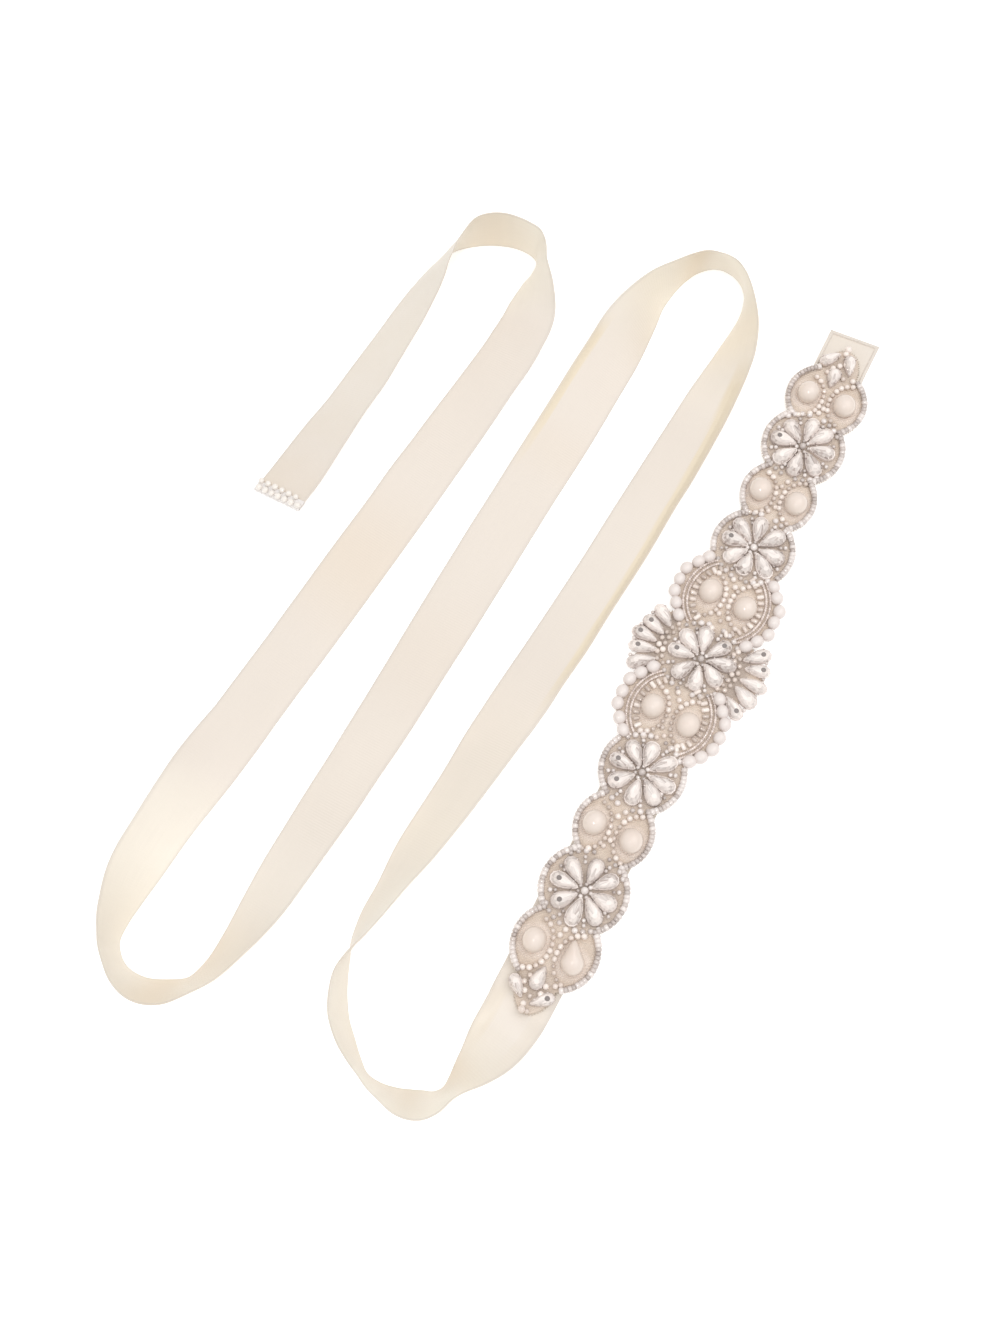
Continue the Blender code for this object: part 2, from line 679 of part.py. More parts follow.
def make_applique():
    felt = material("ivory_felt", (0.80, 0.72, 0.62), 0.9)
    silver = material("silver_beads", (0.72, 0.71, 0.72), 0.25, metallic=1.0)
    crystal = material("clear_crystal", (0.92, 0.92, 0.94), 0.03, transmission=0.6)
    pearl = material("ivory_pearl", (0.90, 0.84, 0.77), 0.2)
    make_backing(felt)
    for end in (-1, 1):
        half = "lower" if end < 0 else "upper"
        make_finial(crystal, f"finial_{half}")
        for side in (-1, 1):
            edge = "right" if side < 0 else "left"
            make_border(silver, f"bead_border_{half}_{edge}", end, side)
            make_scallop(pearl, f"scallop_beads_{half}_{edge}", end, side)
    for ball in PEARLS:
        make_pearl(pearl, ball.name, ball.u, ball.v)
    for flower in FLOWERS:
        make_flower(crystal, flower)
    for name in FANS:
        make_fan(crystal, name)


def main():
    clear_scene()
    satin = material("ivory_satin", (0.88, 0.82, 0.74), 0.42)
    net = material("clear_net", (0.93, 0.91, 0.88), 0.6)
    route = Route(ROUTE)
    make_ribbon(route, satin)
    make_binding(route, net)
    make_under_applique(satin)
    make_tab(satin)
    make_applique()


main()
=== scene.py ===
"""Bridal sash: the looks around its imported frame.

A long satin ribbon lies in loose turns on a table. Its free end is bound in netting with two
rows of small beads. A beaded applique of crystal flowers, pearls and bead borders is sewn over
its last stretch, and a short hemmed tab shows past it.

The file is laid out as an add-on: sizes and colours are in property groups, and each piece or
group of like pieces has an operator. Tables are in millimetres, with the same zero as the
frame's solids, and the meshes are in metres."""

import math
from collections import namedtuple

import bmesh
import bpy
from bpy.props import FloatProperty, FloatVectorProperty, IntProperty, PointerProperty
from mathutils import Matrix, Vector


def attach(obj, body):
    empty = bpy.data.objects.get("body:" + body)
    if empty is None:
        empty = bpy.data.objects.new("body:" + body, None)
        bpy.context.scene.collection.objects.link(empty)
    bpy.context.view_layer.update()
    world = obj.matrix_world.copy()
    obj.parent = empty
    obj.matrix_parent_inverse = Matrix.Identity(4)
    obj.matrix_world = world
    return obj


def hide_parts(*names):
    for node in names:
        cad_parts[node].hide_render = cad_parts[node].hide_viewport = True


bl_info = {
    "name": "Bridal Sash",
    "version": (1, 0, 0),
    "blender": (4, 5, 0),
    "location": "View3D > Sidebar > Sash",
    "description": "Dresses the packed frame of a satin sash with a beaded applique",
    "category": "Object",
}

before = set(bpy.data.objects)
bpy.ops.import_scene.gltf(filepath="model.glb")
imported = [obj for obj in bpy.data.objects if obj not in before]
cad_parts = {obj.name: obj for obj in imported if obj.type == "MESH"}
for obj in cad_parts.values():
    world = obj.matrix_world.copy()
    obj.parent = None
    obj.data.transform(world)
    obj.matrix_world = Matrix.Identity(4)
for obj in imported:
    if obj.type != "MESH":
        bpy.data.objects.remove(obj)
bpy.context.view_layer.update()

MM = 0.001


def table(kind, *rows):
    """A table's rows, each as a named tuple of one kind."""
    return tuple(kind(*row) for row in rows)


# ---------------------------------------------------------------- the ribbon's route
# roll is how far the right edge, seen along the route, is turned up: 0 lies first face up, 90
# stands on edge, 180 lies other face up. left and right are how far the edges curl up.
ORIGIN = (8.1, 11.3)  # the route's own zero to the middle of the sash
Station = namedtuple("Station", "x y roll left right", defaults=(0, 0))
ROUTE = table(
    Station,
    # first run, from the free end
    (-94.8, 72.2, 18), (-85.0, 87.2, 19), (-76.0, 101.5, 24), (-66.5, 116.0, 30),
    (-57.5, 130.0, 32),
    # first turn
    (-49.0, 144.5, 37), (-40.2, 159.4, 39), (-32.1, 174.4, 48), (-28.3, 182.1, 58),
    (-23.7, 189.2, 66), (-17.8, 194.6, 74), (-10.4, 198.6, 85), (-2.3, 200.1, 89),
    (6.0, 199.2, 90), (13.2, 195.6, 90), (16.8, 191.6, 93), (17.2, 187.0, 100), (15.0, 178.1, 117),
    (14.0, 169.1, 139), (12.4, 160.2, 158),
    # second run
    (6.9, 149.1, 167), (-6.5, 127.6, 171), (-24.1, 101.0, 179), (-43.0, 71.2, 184),
    (-61.8, 42.1, 184), (-86.3, 4.8, 180),
    # second turn
    (-105.4, -24.2, 182), (-114.2, -38.0, 193), (-122.0, -52.0, 212), (-130.6, -67.0, 223),
    (-138.4, -81.3, 231), (-144.8, -96.2, 246), (-147.2, -104.5, 256), (-147.8, -113.1, 265),
    (-145.2, -121.2, 263), (-140.6, -127.0, 254), (-134.0, -131.0, 246), (-125.4, -131.9, 243),
    (-117.3, -129.7, 246), (-110.7, -125.0, 241), (-100.1, -112.5, 231),
    # third run
    (-91.5, -99.6, 220), (-82.3, -83.6, 210), (-65.2, -55.2, 203), (-43.4, -17.9, 195),
    (-21.4, 21.3, 186), (-2.0, 55.5, 180), (12.5, 80.5, 178),
    # third turn
    (28.5, 107.0, 170, 0, 20), (41.3, 129.3, 163, 0, 26), (49.6, 143.3, 156, 0, 20),
    (56.6, 153.9, 142), (63.2, 162.2, 125), (69.6, 169.6, 108), (76.5, 175.4, 95),
    (83.6, 180.5, 84), (90.4, 184.0, 77), (98.0, 184.3, 72), (103.8, 180.0, 73),
    (107.0, 173.0, 79), (107.6, 164.7, 92), (106.3, 155.7, 107), (104.2, 147.0, 121),
    (101.4, 138.9, 132),
    # fourth run
    (98.0, 131.2, 142, 0, 12), (90.5, 117.2, 156, 0, 28), (78.6, 96.5, 164, 0, 38),
    (62.4, 69.9, 168, 0, 40), (42.7, 37.4, 167, 0, 38), (22.5, 5.9, 162, 0, 22), (1.8, -25.4, 157),
    (-13.2, -48.8, 147),
    # fourth and fifth turns
    (-23.5, -64.3, 141), (-33.1, -78.6, 133), (-42.0, -92.0, 121), (-51.0, -106.2, 111),
    (-54.9, -113.3, 104), (-57.4, -119.2, 93), (-59.4, -125.0, 84), (-60.5, -133.0, 79),
    (-60.2, -141.0, 77), (-57.4, -149.3, 78), (-54.0, -156.0, 83), (-50.9, -160.9, 86),
    (-46.8, -165.1, 81), (-41.4, -168.7, 74), (-36.0, -171.3, 67), (-29.9, -172.3, 65),
    (-24.0, -171.5, 70), (-19.3, -168.8, 74), (-15.5, -165.3, 68),
    # last run, up to the applique
    (-11.8, -161.7, 58), (-8.0, -157.8, 48), (-3.0, -152.0, 32, 10, 5), (2.8, -143.8, 14, 30, 10),
    (7.0, -136.4, 0, 22, 8), (10.4, -130.2, 0), (28.5, -95.6, 0),
)

# Soft creases and dents. at is along the route from the free end, across is from the middle
# to the right edge, and lift is towards the first face's side. slant leans a crease: it is how
# far it moves along for each millimetre across.
Crease = namedtuple("Crease", "at across length breadth lift slant")
CREASES = table(
    Crease,
    (22, -3, 16, 16, 0.5, 0.4), (58, 6, 24, 12, -0.4, -0.5), (96, -2, 14, 18, 0.6, 0.8),
    (128, 5, 11, 14, -0.7, 0.9), (150, -6, 9, 10, 0.6, -0.6), (172, 7, 8, 12, -0.5, 0.5),
    (198, -4, 10, 14, 0.7, 0.9), (219, 5, 12, 12, -0.6, 1.0), (250, 3, 20, 16, -0.5, 0.9),
    (291, -8, 26, 9, -0.5, 0.3), (338, 7, 30, 10, -0.4, -0.4), (381, -2, 22, 15, -0.5, 0.6),
    (424, 8, 25, 9, -0.4, 0.2), (459, -5, 15, 15, -0.6, -0.8), (489, 4, 14, 16, 0.6, -0.9),
    (522, -3, 10, 13, -0.6, -0.7), (547, 6, 8, 11, 0.6, 0.5), (569, -5, 9, 12, -0.6, -0.5),
    (596, 3, 13, 15, 0.6, -0.9), (634, -6, 20, 12, -0.5, -0.6), (681, 6, 28, 11, -0.5, 0.4),
    (729, -3, 24, 14, -0.4, -0.5), (778, 8, 30, 8, -0.4, 0.2), (823, -7, 22, 10, -0.5, 0.3),
    (868, 2, 18, 14, -0.6, 0.7), (899, -6, 12, 12, -0.5, 0.9), (921, 5, 9, 12, 0.6, 0.8),
    (946, -4, 10, 13, -0.6, -0.5), (969, 6, 9, 11, 0.5, 0.6), (996, -3, 12, 14, -0.6, -0.8),
    (1031, 4, 16, 15, -0.6, -0.7), (1078, -7, 26, 10, -0.5, 0.3), (1129, 2, 30, 13, -0.5, -0.4),
    (1181, -8, 24, 9, -0.4, 0.3), (1226, 4, 20, 14, -0.5, -0.6), (1268, -3, 14, 15, -0.6, -0.9),
    (1296, 5, 12, 13, 0.6, -0.8), (1322, -6, 10, 11, -0.5, 0.5), (1347, 4, 9, 12, 0.6, -0.5),
    (1371, -3, 8, 13, -0.6, 0.6), (1392, 6, 9, 12, 0.5, 0.8), (1418, -4, 11, 14, 0.7, 0.9),
    (1447, 5, 14, 12, 0.5, 0.6),
)
# Waves of the two woven edges, on which the slack of the edge is taken up
EdgeWave = namedtuple("EdgeWave", "side first last swing length")
EDGE_WAVES = table(
    EdgeWave,
    (-1, 30, 120, 0.25, 34), (1, 60, 215, 0.30, 41), (-1, 180, 330, 0.28, 47),
    (1, 300, 470, 0.22, 38), (-1, 420, 560, 0.32, 36), (1, 520, 700, 0.30, 52),
    (-1, 650, 840, 0.22, 44), (1, 870, 1010, 0.34, 33), (-1, 930, 1120, 0.26, 49),
    (1, 1060, 1230, 0.24, 43), (-1, 1190, 1340, 0.32, 39), (1, 1290, 1440, 0.30, 35),
)
CREASE_REACH = 2.2  # how far a crease goes on along the ribbon, in its lengths
WAVE_FADE = 25  # the distance in which an edge wave comes and goes
WAVE_INNER, WAVE_OUTER = 6.0, 12.7  # from the middle, where it starts and where it is whole
# Painted light on the satin, by place along the route: how much lighter (painted sheen) or
# darker (painted shade), how much warmer (painted light thrown back between facing folds), and
# how much lighter its right side is than its middle (painted sheen).
Gleam = namedtuple("Gleam", "at reach light warm right", defaults=(0.0, 0.0, 0.0))
GLEAMS = table(
    Gleam,
    (10, 22, -0.2, 0.2), (80, 55, 0.3), (161, 22, -0.4, 0.4), (191, 34, 1.3), (350, 45, -0.2, 0.4),
    (492, 46, 1.25), (562, 15, -0.5, 0.6), (585, 30, -0.15, 0.45), (628, 32, 0.55),
    (680, 48, 0.4, 0.1), (735, 40, 0.0, 0.15), (842, 20, -0.1, 0.15), (927, 20, 0.55, 0.2),
    (945, 12, 0.0, 0.5), (951, 10, -0.7, 0.4), (974, 26, 1.5), (1002, 24, 0.8, 0.6),
    (1032, 24, 0.5, 0.1), (1120, 60, 0.2), (1210, 40, 0.4, 0.2), (1256, 38, 0.7, 0.25),
    (1290, 18, 0.35, 0.1), (1312, 12, -0.4), (1350, 16, -0.4), (1379, 7, -0.3, 0.1),
    (1390, 9, 0.8), (1402, 10, 0.0, 0.3), (1424, 24, 0.75), (180, 40, 0.0, 0.0, 0.3),
    (580, 24, -0.1, 0.0, -0.7), (912, 26, -0.1, 0.0, 0.6), (970, 26, 0.0, 0.0, 0.6),
    (1288, 26, 0.15, 0.0, 0.6), (1312, 12, -0.1, 0.0, -0.4), (1370, 32, 0.0, 0.0, 0.9),
    (1398, 18, 0.0, 0.0, 1.1),
)
# The curled edge strips get a painted shade, a deeper and warmer tone, stronger the more they curl
GOLD_SPREAD = 1.35  # how far the curled strip's deeper tone reaches, in strip widths
GOLD_FADE = 0.7  # the width in which it comes in
GOLD_FULL = 0.35  # the curl, in radians, from which it is whole
GOLD_LAST, GOLD_REST = 1400, 0.3  # it is whole up to here along the route, and then a share
HALF_COLUMNS = (0.15, 0.3, 0.44, 0.5, 0.56, 0.61, 0.66, 0.71, 0.76, 0.81, 0.86, 0.92, 0.965, 1)
RIBBON_COLUMNS = tuple(-c for c in reversed(HALF_COLUMNS)) + (0,) + HALF_COLUMNS
# How wide the curled strip of an edge is, by where it is along the route
STRIP_WIDTHS = ((820, 2.8), (905, 3.6), (1005, 6.2), (1060, 5.2), (1110, 4.2), (1160, 3.4),
                (1210, 2.8), (1400, 5.0))
STRIP_BEND = 1.3  # how much of the strip the bend itself takes
EDGE_TONE, EDGE_TONE_FADE = 0.90, 0.05  # where the edges' tone comes in, of the half width
SELVEDGE = 0.9  # the denser woven edge
SELVEDGE_WALL, OUTER_WALL = 1.35, 0.8  # its thickness, and that of its last threads
RIBBON_START = 0.8  # the cut edge, inside the netting that binds it
LIFT_BY_BINDING, LIFT_LENGTH = 0.45, 9.0  # how far the netting lifts the ribbon off the table
FLAT_WAVES = 0.05  # the ribbon's unevenness under the applique and in the tab
FLAT_STEP = 1.6  # its mesh's rows there, in row steps
BINDING_LENGTH = 5.0
BINDING_THICKNESS = 0.68  # from the ribbon's middle to the netting's outside
BINDING_OVERHANG = 0.25  # how far it stands out past each of the ribbon's edges
END_BEAD_HEIGHT, END_BEAD_PITCH = 1.35, 3.7
HEM_STITCH_PITCH, EDGE_STITCH_PITCH = 1.7, 1.05
TAB_WIDTH = 22.4
TAB_INNER_END, TAB_OUTER_END = 149.0, 167.5
TAB_SHIFT = 0.6  # the tab lies a little to the left of the applique's middle line
TAB_SLANT = 0.8
HEM_WIDTH = 1.6

# ---------------------------------------------------------------- the applique
# Its own frame: u runs along the ribbon towards the tab, v across it to the left.
APPLIQUE_CENTRE = (81.4, 3.0)
APPLIQUE_HEADING = 62.9
GROUND_BOTTOM, GROUND_TOP = 0.45, 2.5
Lobe = namedtuple("Lobe", "u half_u half_v")
LOBES = table(
    Lobe,
    (0.0, 19.0, 28.5), (28.0, 19.0, 23.0), (54.0, 18.0, 18.0), (80.5, 16.6, 16.6),
    (107.0, 18.2, 18.2), (132.0, 17.5, 18.0), (147.4, 12.6, 8.6),
)
EDGE_HANG = 1.1  # how far the beads hang over the ground's cut edge
EDGE_WIDTH, EDGE_DROP = 2.2, 0.55  # the ground's edge, which the stitches draw down
PUCKER = 0.10  # how far the stitches pucker the rest of it
QUARTERS = ((-1, -1), (-1, 1), (1, -1), (1, 1))  # the end and the side of each
Flower = namedtuple("Flower", "u v turn")  # turn is how far it is sewn off square
FLOWERS = table(
    Flower,
    (-107.3, -0.4, 2), (-54.6, 0.0, 0), (-0.6, -1.0, 9), (54.2, -0.2, 4), (106.6, 0.2, 5),
)
# The stones whose culet has a dark painted reflection
SPOTTED = {(0, 2), (0, 3), (1, 2), (1, 3), (2, 2), (2, 7), (3, 2), (4, 2)}  # flower and stone
Pearl = namedtuple("Pearl", "u v point angle")
PEARLS = table(
    Pearl,
    (-133.2, 8.6, 0, 10), (-134.2, -8.2, 0.6, 20), (-81.6, 8.0, 0, -8), (-81.8, -8.0, 0, 12),
    (-28.0, 7.8, 0, 15), (-28.8, -8.0, 0, -5), (27.8, 7.8, 0, 6), (27.2, -8.1, 0, -12),
    (79.5, 8.1, 0, 9), (80.0, -7.9, 0, 4), (131.0, 8.3, 0, -6), (131.8, -8.2, 0, 11),
)
SCALLOP = (  # one quarter's oval beads
    (12.6, 15.0), (17.0, 18.2), (21.6, 21.3), (27.4, 21.5), (33.0, 21.2), (38.0, 18.0),
    (42.0, 14.6),
)
# u and v are where the drop's point is, and angle is where its round end lies from there. A
# spotted one has a dark painted reflection in its culet.
Sewn = namedtuple("Sewn", "u v angle length width spotted", defaults=(False,))
FINIALS = table(
    Sewn,
    (138.8, 1.0, 6, 9.0, 5.6), (147.6, -4.2, 20, 9.2, 4.8), (155.2, 3.2, 140, 9.2, 4.7),
    (-140.4, 0.2, 176, 9.2, 5.4), (-154.4, 3.6, 46, 8.8, 4.7), (-155.2, -0.8, -48, 9.4, 4.6, True),
)
FINIAL_MIDDLE = (148.5, 0.5)  # of the upper one; the lower one has it at the other end
FINIAL_TIPS = ((158.8, 1.0), (-158.4, 1.2))
FINIAL_SEEDS = (
    (144.8, 4.9), (147.6, 3.4), (149.9, 1.2), (151.6, -1.0), (144.6, -2.6),
    (145.4, -6.8), (156.6, 1.0), (-145.6, 4.0), (-148.6, 5.0), (-151.6, 3.4), (-152.6, 0.6),
    (-150.2, -2.8), (-146.8, -3.2), (-145.0, -6.4), (-156.2, 1.6), (-158.2, -0.9),
)
FAN_DROPS = table(
    Sewn,
    (-8.9, 15.9, 125, 11.2, 5.5), (-5.0, 16.8, 105, 11.3, 4.9, True),
    (-1.6, 18.8, 86, 10.4, 5.5, True), (2.4, 17.3, 70, 10.3, 5.5, True),
    (6.9, 16.3, 55, 10.2, 5.4), (-10.6, -17.0, -125, 10.2, 5.6, True),
    (-5.0, -18.7, -113, 10.6, 6.3), (-1.2, -19.0, -88, 11.0, 5.2),
    (4.0, -19.0, -73, 9.8, 5.3, True), (7.0, -16.9, -50, 11.2, 5.7, True),
)
FAN_TIPS = (
    (-11.8, 25.6), (-4.6, 27.3), (2.2, 27.2), (9.0, 25.2),
    (-12.4, -25.6), (-5.0, -27.4), (3.2, -27.2), (10.2, -25.6),
)
FILLING = (  # beads of one half, which the other half has too, turned half round
    (13.9, 0.6), (18.2, -1.2), (21.0, 0.6), (34.4, -0.6), (37.4, 1.4), (39.2, -1.0),
    (72.6, 1.2), (75.4, -0.8), (85.4, 0.6), (88.6, -0.8), (124.6, 0.4), (127.4, -0.6),
)


# ---------------------------------------------------------------- settings

def colour_property(name, description, default):
    return FloatVectorProperty(name=name, description=description, default=default, size=3,
                               min=0, max=1, subtype="COLOR")


def length_property(name, description, default, least):
    return FloatProperty(name=name, description=description, default=default, min=least,
                         unit="LENGTH")


class SashRibbonSettings(bpy.types.PropertyGroup):
    width: length_property("Width", "Width of the satin ribbon", 0.0254, 0.01)
    thickness: length_property("Thickness", "Thickness of the satin", 0.0004, 0.0001)
    row_step: length_property(
        "Row step", "Distance between the mesh's rows along the ribbon", 0.00125, 0.0005)
    crease_depth: FloatProperty(
        name="Crease depth", description="How deep the soft creases and edge waves are",
        default=1.0, min=0.0, max=2.0, subtype="FACTOR")
    face_colour: colour_property(
        "Satin face", "Colour of the glossy face of the satin", (0.776, 0.711, 0.646))
    back_colour: colour_property(
        "Satin back", "Colour of the duller back of the satin", (0.778, 0.709, 0.640))
    net_colour: colour_property(
        "End netting", "Colour of the netting that binds the free end", (0.90, 0.86, 0.84))


class SashAppliqueSettings(bpy.types.PropertyGroup):
    ground_colour: colour_property(
        "Ground", "Colour of the stiffened net that the beads are sewn to",
        (0.800, 0.685, 0.590))
    pearl_colour: colour_property(
        "Pearl", "Colour of the large pearls", (0.79, 0.695, 0.635))
    crystal_colour: colour_property(
        "Crystal", "Colour of a stone's brightest facets", (0.95, 0.875, 0.835))
    silver_colour: colour_property(
        "Silver", "Colour of the silver-lined beads and the settings", (0.69, 0.615, 0.58))
    border_pitch: length_property(
        "Border pitch", "Distance between the beads of the border", 0.00165, 0.0008)
    seed_pitch: length_property(
        "Seed pitch", "Distance between seed beads in a row", 0.0024, 0.0008)
    stone_height: length_property(
        "Stone height", "Height of the flowers' stones over the ground", 0.0036, 0.001)
    seed: IntProperty(
        name="Seed", description="Changes how unevenly the beads are threaded", default=11)


class SashStageSettings(bpy.types.PropertyGroup):
    floor_colour: colour_property("Floor", "Colour of the plain floor", (0.93, 0.93, 0.93))
    sky_light: FloatProperty(
        name="Soft light", description="Strength of the light from all round",
        default=0.95, min=0.0)
    window_light: FloatProperty(
        name="Window light", description="Power of the large soft light from the right",
        default=3.6, min=0.0, unit="POWER")
    top_light: FloatProperty(
        name="Top light", description="Power of the soft light beside the camera",
        default=2.4, min=0.0, unit="POWER")
    lens: FloatProperty(
        name="Lens", description="Focal length of the camera in millimetres",
        default=39.05, min=10)


def ribbon_settings():
    return bpy.context.scene.sash_ribbon


def applique_settings():
    return bpy.context.scene.sash_applique


def stage_settings():
    return bpy.context.scene.sash_stage


# ---------------------------------------------------------------- meshes

def in_metres(points):
    """Points of the tables' millimetres, from the middle of the sash."""
    origin = Vector((*ORIGIN, 0))
    return [(Vector(p) - origin) * MM for p in points]


def linked(name, data):
    """An object in the scene, at the origin, of a mesh, a light or a camera."""
    obj = bpy.data.objects.new(name, data)
    bpy.context.scene.collection.objects.link(obj)
    return obj


def plain_mesh(name, points, edges, faces):
    mesh = bpy.data.meshes.new(name)
    mesh.from_pydata(points, edges, faces)
    mesh.update()
    return mesh


def face_outwards(obj):
    work = bmesh.new()
    work.from_mesh(obj.data)
    bmesh.ops.recalc_face_normals(work, faces=work.faces)
    work.to_mesh(obj.data)
    work.free()


def skin(rings, first=0):
    """Faces between rings of equal length, each a closed loop, with a cap at both ends."""
    count = len(rings[0])
    last = first + (len(rings) - 1) * count
    faces = []
    for near in range(first, last, count):
        for j in range(count):
            k = (j + 1) % count
            faces.append((near + j, near + k, near + count + k, near + count + j))
    faces.append(tuple(first + j for j in reversed(range(count))))
    faces.append(tuple(last + j for j in range(count)))
    return faces


def ring_object(name, ring_sets, material, sharp_angle=None):
    """One smooth object from several sets of rings, in millimetres."""
    points, faces = [], []
    for rings in ring_sets:
        faces += skin(rings, len(points))
        points += [p for ring in rings for p in ring]
    mesh = plain_mesh(name, in_metres(points), [], faces)
    mesh.shade_smooth()
    mesh.materials.append(material)
    obj = linked(name, mesh)
    face_outwards(obj)
    if sharp_angle:
        mesh.set_sharp_from_angle(angle=math.radians(sharp_angle))
    return obj


def mark(obj, name, values, domain="POINT"):
    """Gives each point or face of a piece a number, which its material reads."""
    obj.data.attributes.new(name, "FLOAT", domain).data.foreach_set("value", values)


def smooth_step(x):
    x = max(0.0, min(1.0, x))
    return x * x * (3 - 2 * x)


def uneven(*numbers):
    """A number from 0 to 1 that jumps about with the numbers given, the same in each run."""
    total = sum(n * k for n, k in zip(numbers, (12.9898, 78.233, 37.719, 4.581)))
    return math.sin(total) * 43758.5453 % 1.0


def around(middle, spread, *numbers):
    """A number within half the spread of a middle one."""
    return middle + spread * (uneven(*numbers) - 0.5)


def placed(u, v, z):
    """A point of the applique's frame in the sash's frame."""
    turn = math.radians(APPLIQUE_HEADING)
    x = APPLIQUE_CENTRE[0] + u * math.cos(turn) - v * math.sin(turn)
    y = APPLIQUE_CENTRE[1] + u * math.sin(turn) + v * math.cos(turn)
    return Vector((x, y, z))


def turned(points, angle, centre=(0.0, 0.0)):
    """Points turned round (0, 0) by an angle in degrees and moved to a centre."""
    c, s = math.cos(math.radians(angle)), math.sin(math.radians(angle))
    return [(centre[0] + u * c - v * s, centre[1] + u * s + v * c) for u, v in points]


def half_width(u, inset=0.0):
    """How far the applique's ground reaches to each side at u, less an inset."""
    reach = 0.0
    for lobe in LOBES:
        along = (abs(u) - lobe.u) / (lobe.half_u - inset)
        if abs(along) < 1:
            reach = max(reach, (lobe.half_v - inset) * math.sqrt(1 - along * along))
    return reach


def nodes_named(start):
    return [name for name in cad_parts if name.startswith(start)]


def settle(obj, slot, *nodes):
    """Ties a finished piece to the frame."""
    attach(obj, "root")
    if nodes:
        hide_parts(*nodes)
    return obj


# ---------------------------------------------------------------- shader groups

def add_node(tree, kind, inputs=None, **settings):
    """A node in a tree. Each input is a value or another node's output."""
    node = tree.nodes.new(kind)
    for name, value in settings.items():
        setattr(node, name, value)
    for label, value in (inputs or {}).items():
        if isinstance(value, bpy.types.NodeSocket):
            tree.links.new(value, node.inputs[label])
        else:
            node.inputs[label].default_value = value
    return node


def add_math(tree, operation, *values):
    inputs = dict(enumerate(values))
    return add_node(tree, "ShaderNodeMath", inputs, operation=operation).outputs[0]


def new_group(name, inputs, outputs):
    """A shader group, the values that it is given and the sockets of its result."""
    group = bpy.data.node_groups.new(name, "ShaderNodeTree")
    for kind, rows in (("INPUT", inputs), ("OUTPUT", outputs)):
        for label, number_kind, *default in rows:
            socket = group.interface.new_socket(
                label, in_out=kind, socket_type="NodeSocket" + number_kind)
            if default:
                socket.default_value = default[0]
    given, result = (group.nodes.new(kind) for kind in ("NodeGroupInput", "NodeGroupOutput"))
    return group, given.outputs, result.inputs


def threads_group(name):
    """Fine threads along one axis of a map, crossed by finer ones: a height for a bump."""
    group, given, result = new_group(
        name, (("Vector", "Vector"), ("Thread", "Float", 0.0005), ("Pick", "Float", 0.0008),
               ("Unevenness", "Float", 0.3)),
        (("Height", "Float"), ("Gaps", "Float")))
    split = add_node(group, "ShaderNodeSeparateXYZ", {0: given["Vector"]})
    noise = add_node(group, "ShaderNodeTexNoise",
                     {"Vector": given["Vector"], "Scale": 420, "Detail": 2})
    jitter = add_math(group, "MULTIPLY", noise.outputs["Fac"], given["Unevenness"])
    waves = []
    for axis, size in (("Y", "Thread"), ("X", "Pick")):
        turns = add_math(group, "DIVIDE", split.outputs[axis], given[size])
        angle = add_math(group, "MULTIPLY", add_math(group, "ADD", turns, jitter), 2 * math.pi)
        waves.append(add_math(group, "MULTIPLY", add_math(group, "SINE", angle), 0.5))
    ribs = add_math(group, "MULTIPLY", waves[1], 0.45)
    group.links.new(add_math(group, "ADD", waves[0], ribs), result["Height"])
    low = add_math(group, "MULTIPLY", *waves)
    group.links.new(add_math(group, "ADD", low, 0.5), result["Gaps"])
    return group


def tone_group(name):
    """Broad uneven tone, as of cloth that has been handled and of pieces of many dye lots."""
    group, given, result = new_group(
        name, (("Vector", "Vector"), ("Scale", "Float", 20.0), ("Amount", "Float", 0.1),
               ("Colour", "Color", (0.8, 0.8, 0.8, 1)),
               ("Second Colour", "Color", (0.7, 0.7, 0.7, 1))),
        (("Colour", "Color"), ("Mask", "Float")))
    noise = add_node(group, "ShaderNodeTexNoise", {
        "Vector": given["Vector"], "Scale": given["Scale"], "Detail": 4, "Roughness": 0.6})
    spread = add_node(group, "ShaderNodeMapRange", {
        "Value": noise.outputs["Fac"], "From Min": 0.35, "From Max": 0.65}).outputs["Result"]
    share = add_math(group, "MULTIPLY", spread, given["Amount"])
    mixed = add_node(group, "ShaderNodeMix", {
        "Factor": share, 6: given["Colour"], 7: given["Second Colour"]}, data_type="RGBA")
    group.links.new(mixed.outputs[2], result["Colour"])
    group.links.new(spread, result["Mask"])
    return group


def fleck_group(name):
    """Small marks, such as the knots and gaps of net or the scratches of metal: a mask."""
    group, given, result = new_group(
        name, (("Vector", "Vector"), ("Scale", "Float", 900.0), ("Size", "Float", 0.35)),
        (("Mask", "Float"), ("Height", "Float")))
    away = add_node(group, "ShaderNodeTexVoronoi", {
        "Vector": given["Vector"], "Scale": given["Scale"]}, feature="F1").outputs["Distance"]
    group.links.new(add_math(group, "LESS_THAN", away, given["Size"]), result["Mask"])
    group.links.new(away, result["Height"])
    return group


# ---------------------------------------------------------------- materials

GROUP_BUILDERS = {
    "Woven Threads": threads_group, "Uneven Tone": tone_group, "Fine Flecks": fleck_group,
}
FULL_TINT = 1.0  # the share of a tint that covers the whole surface


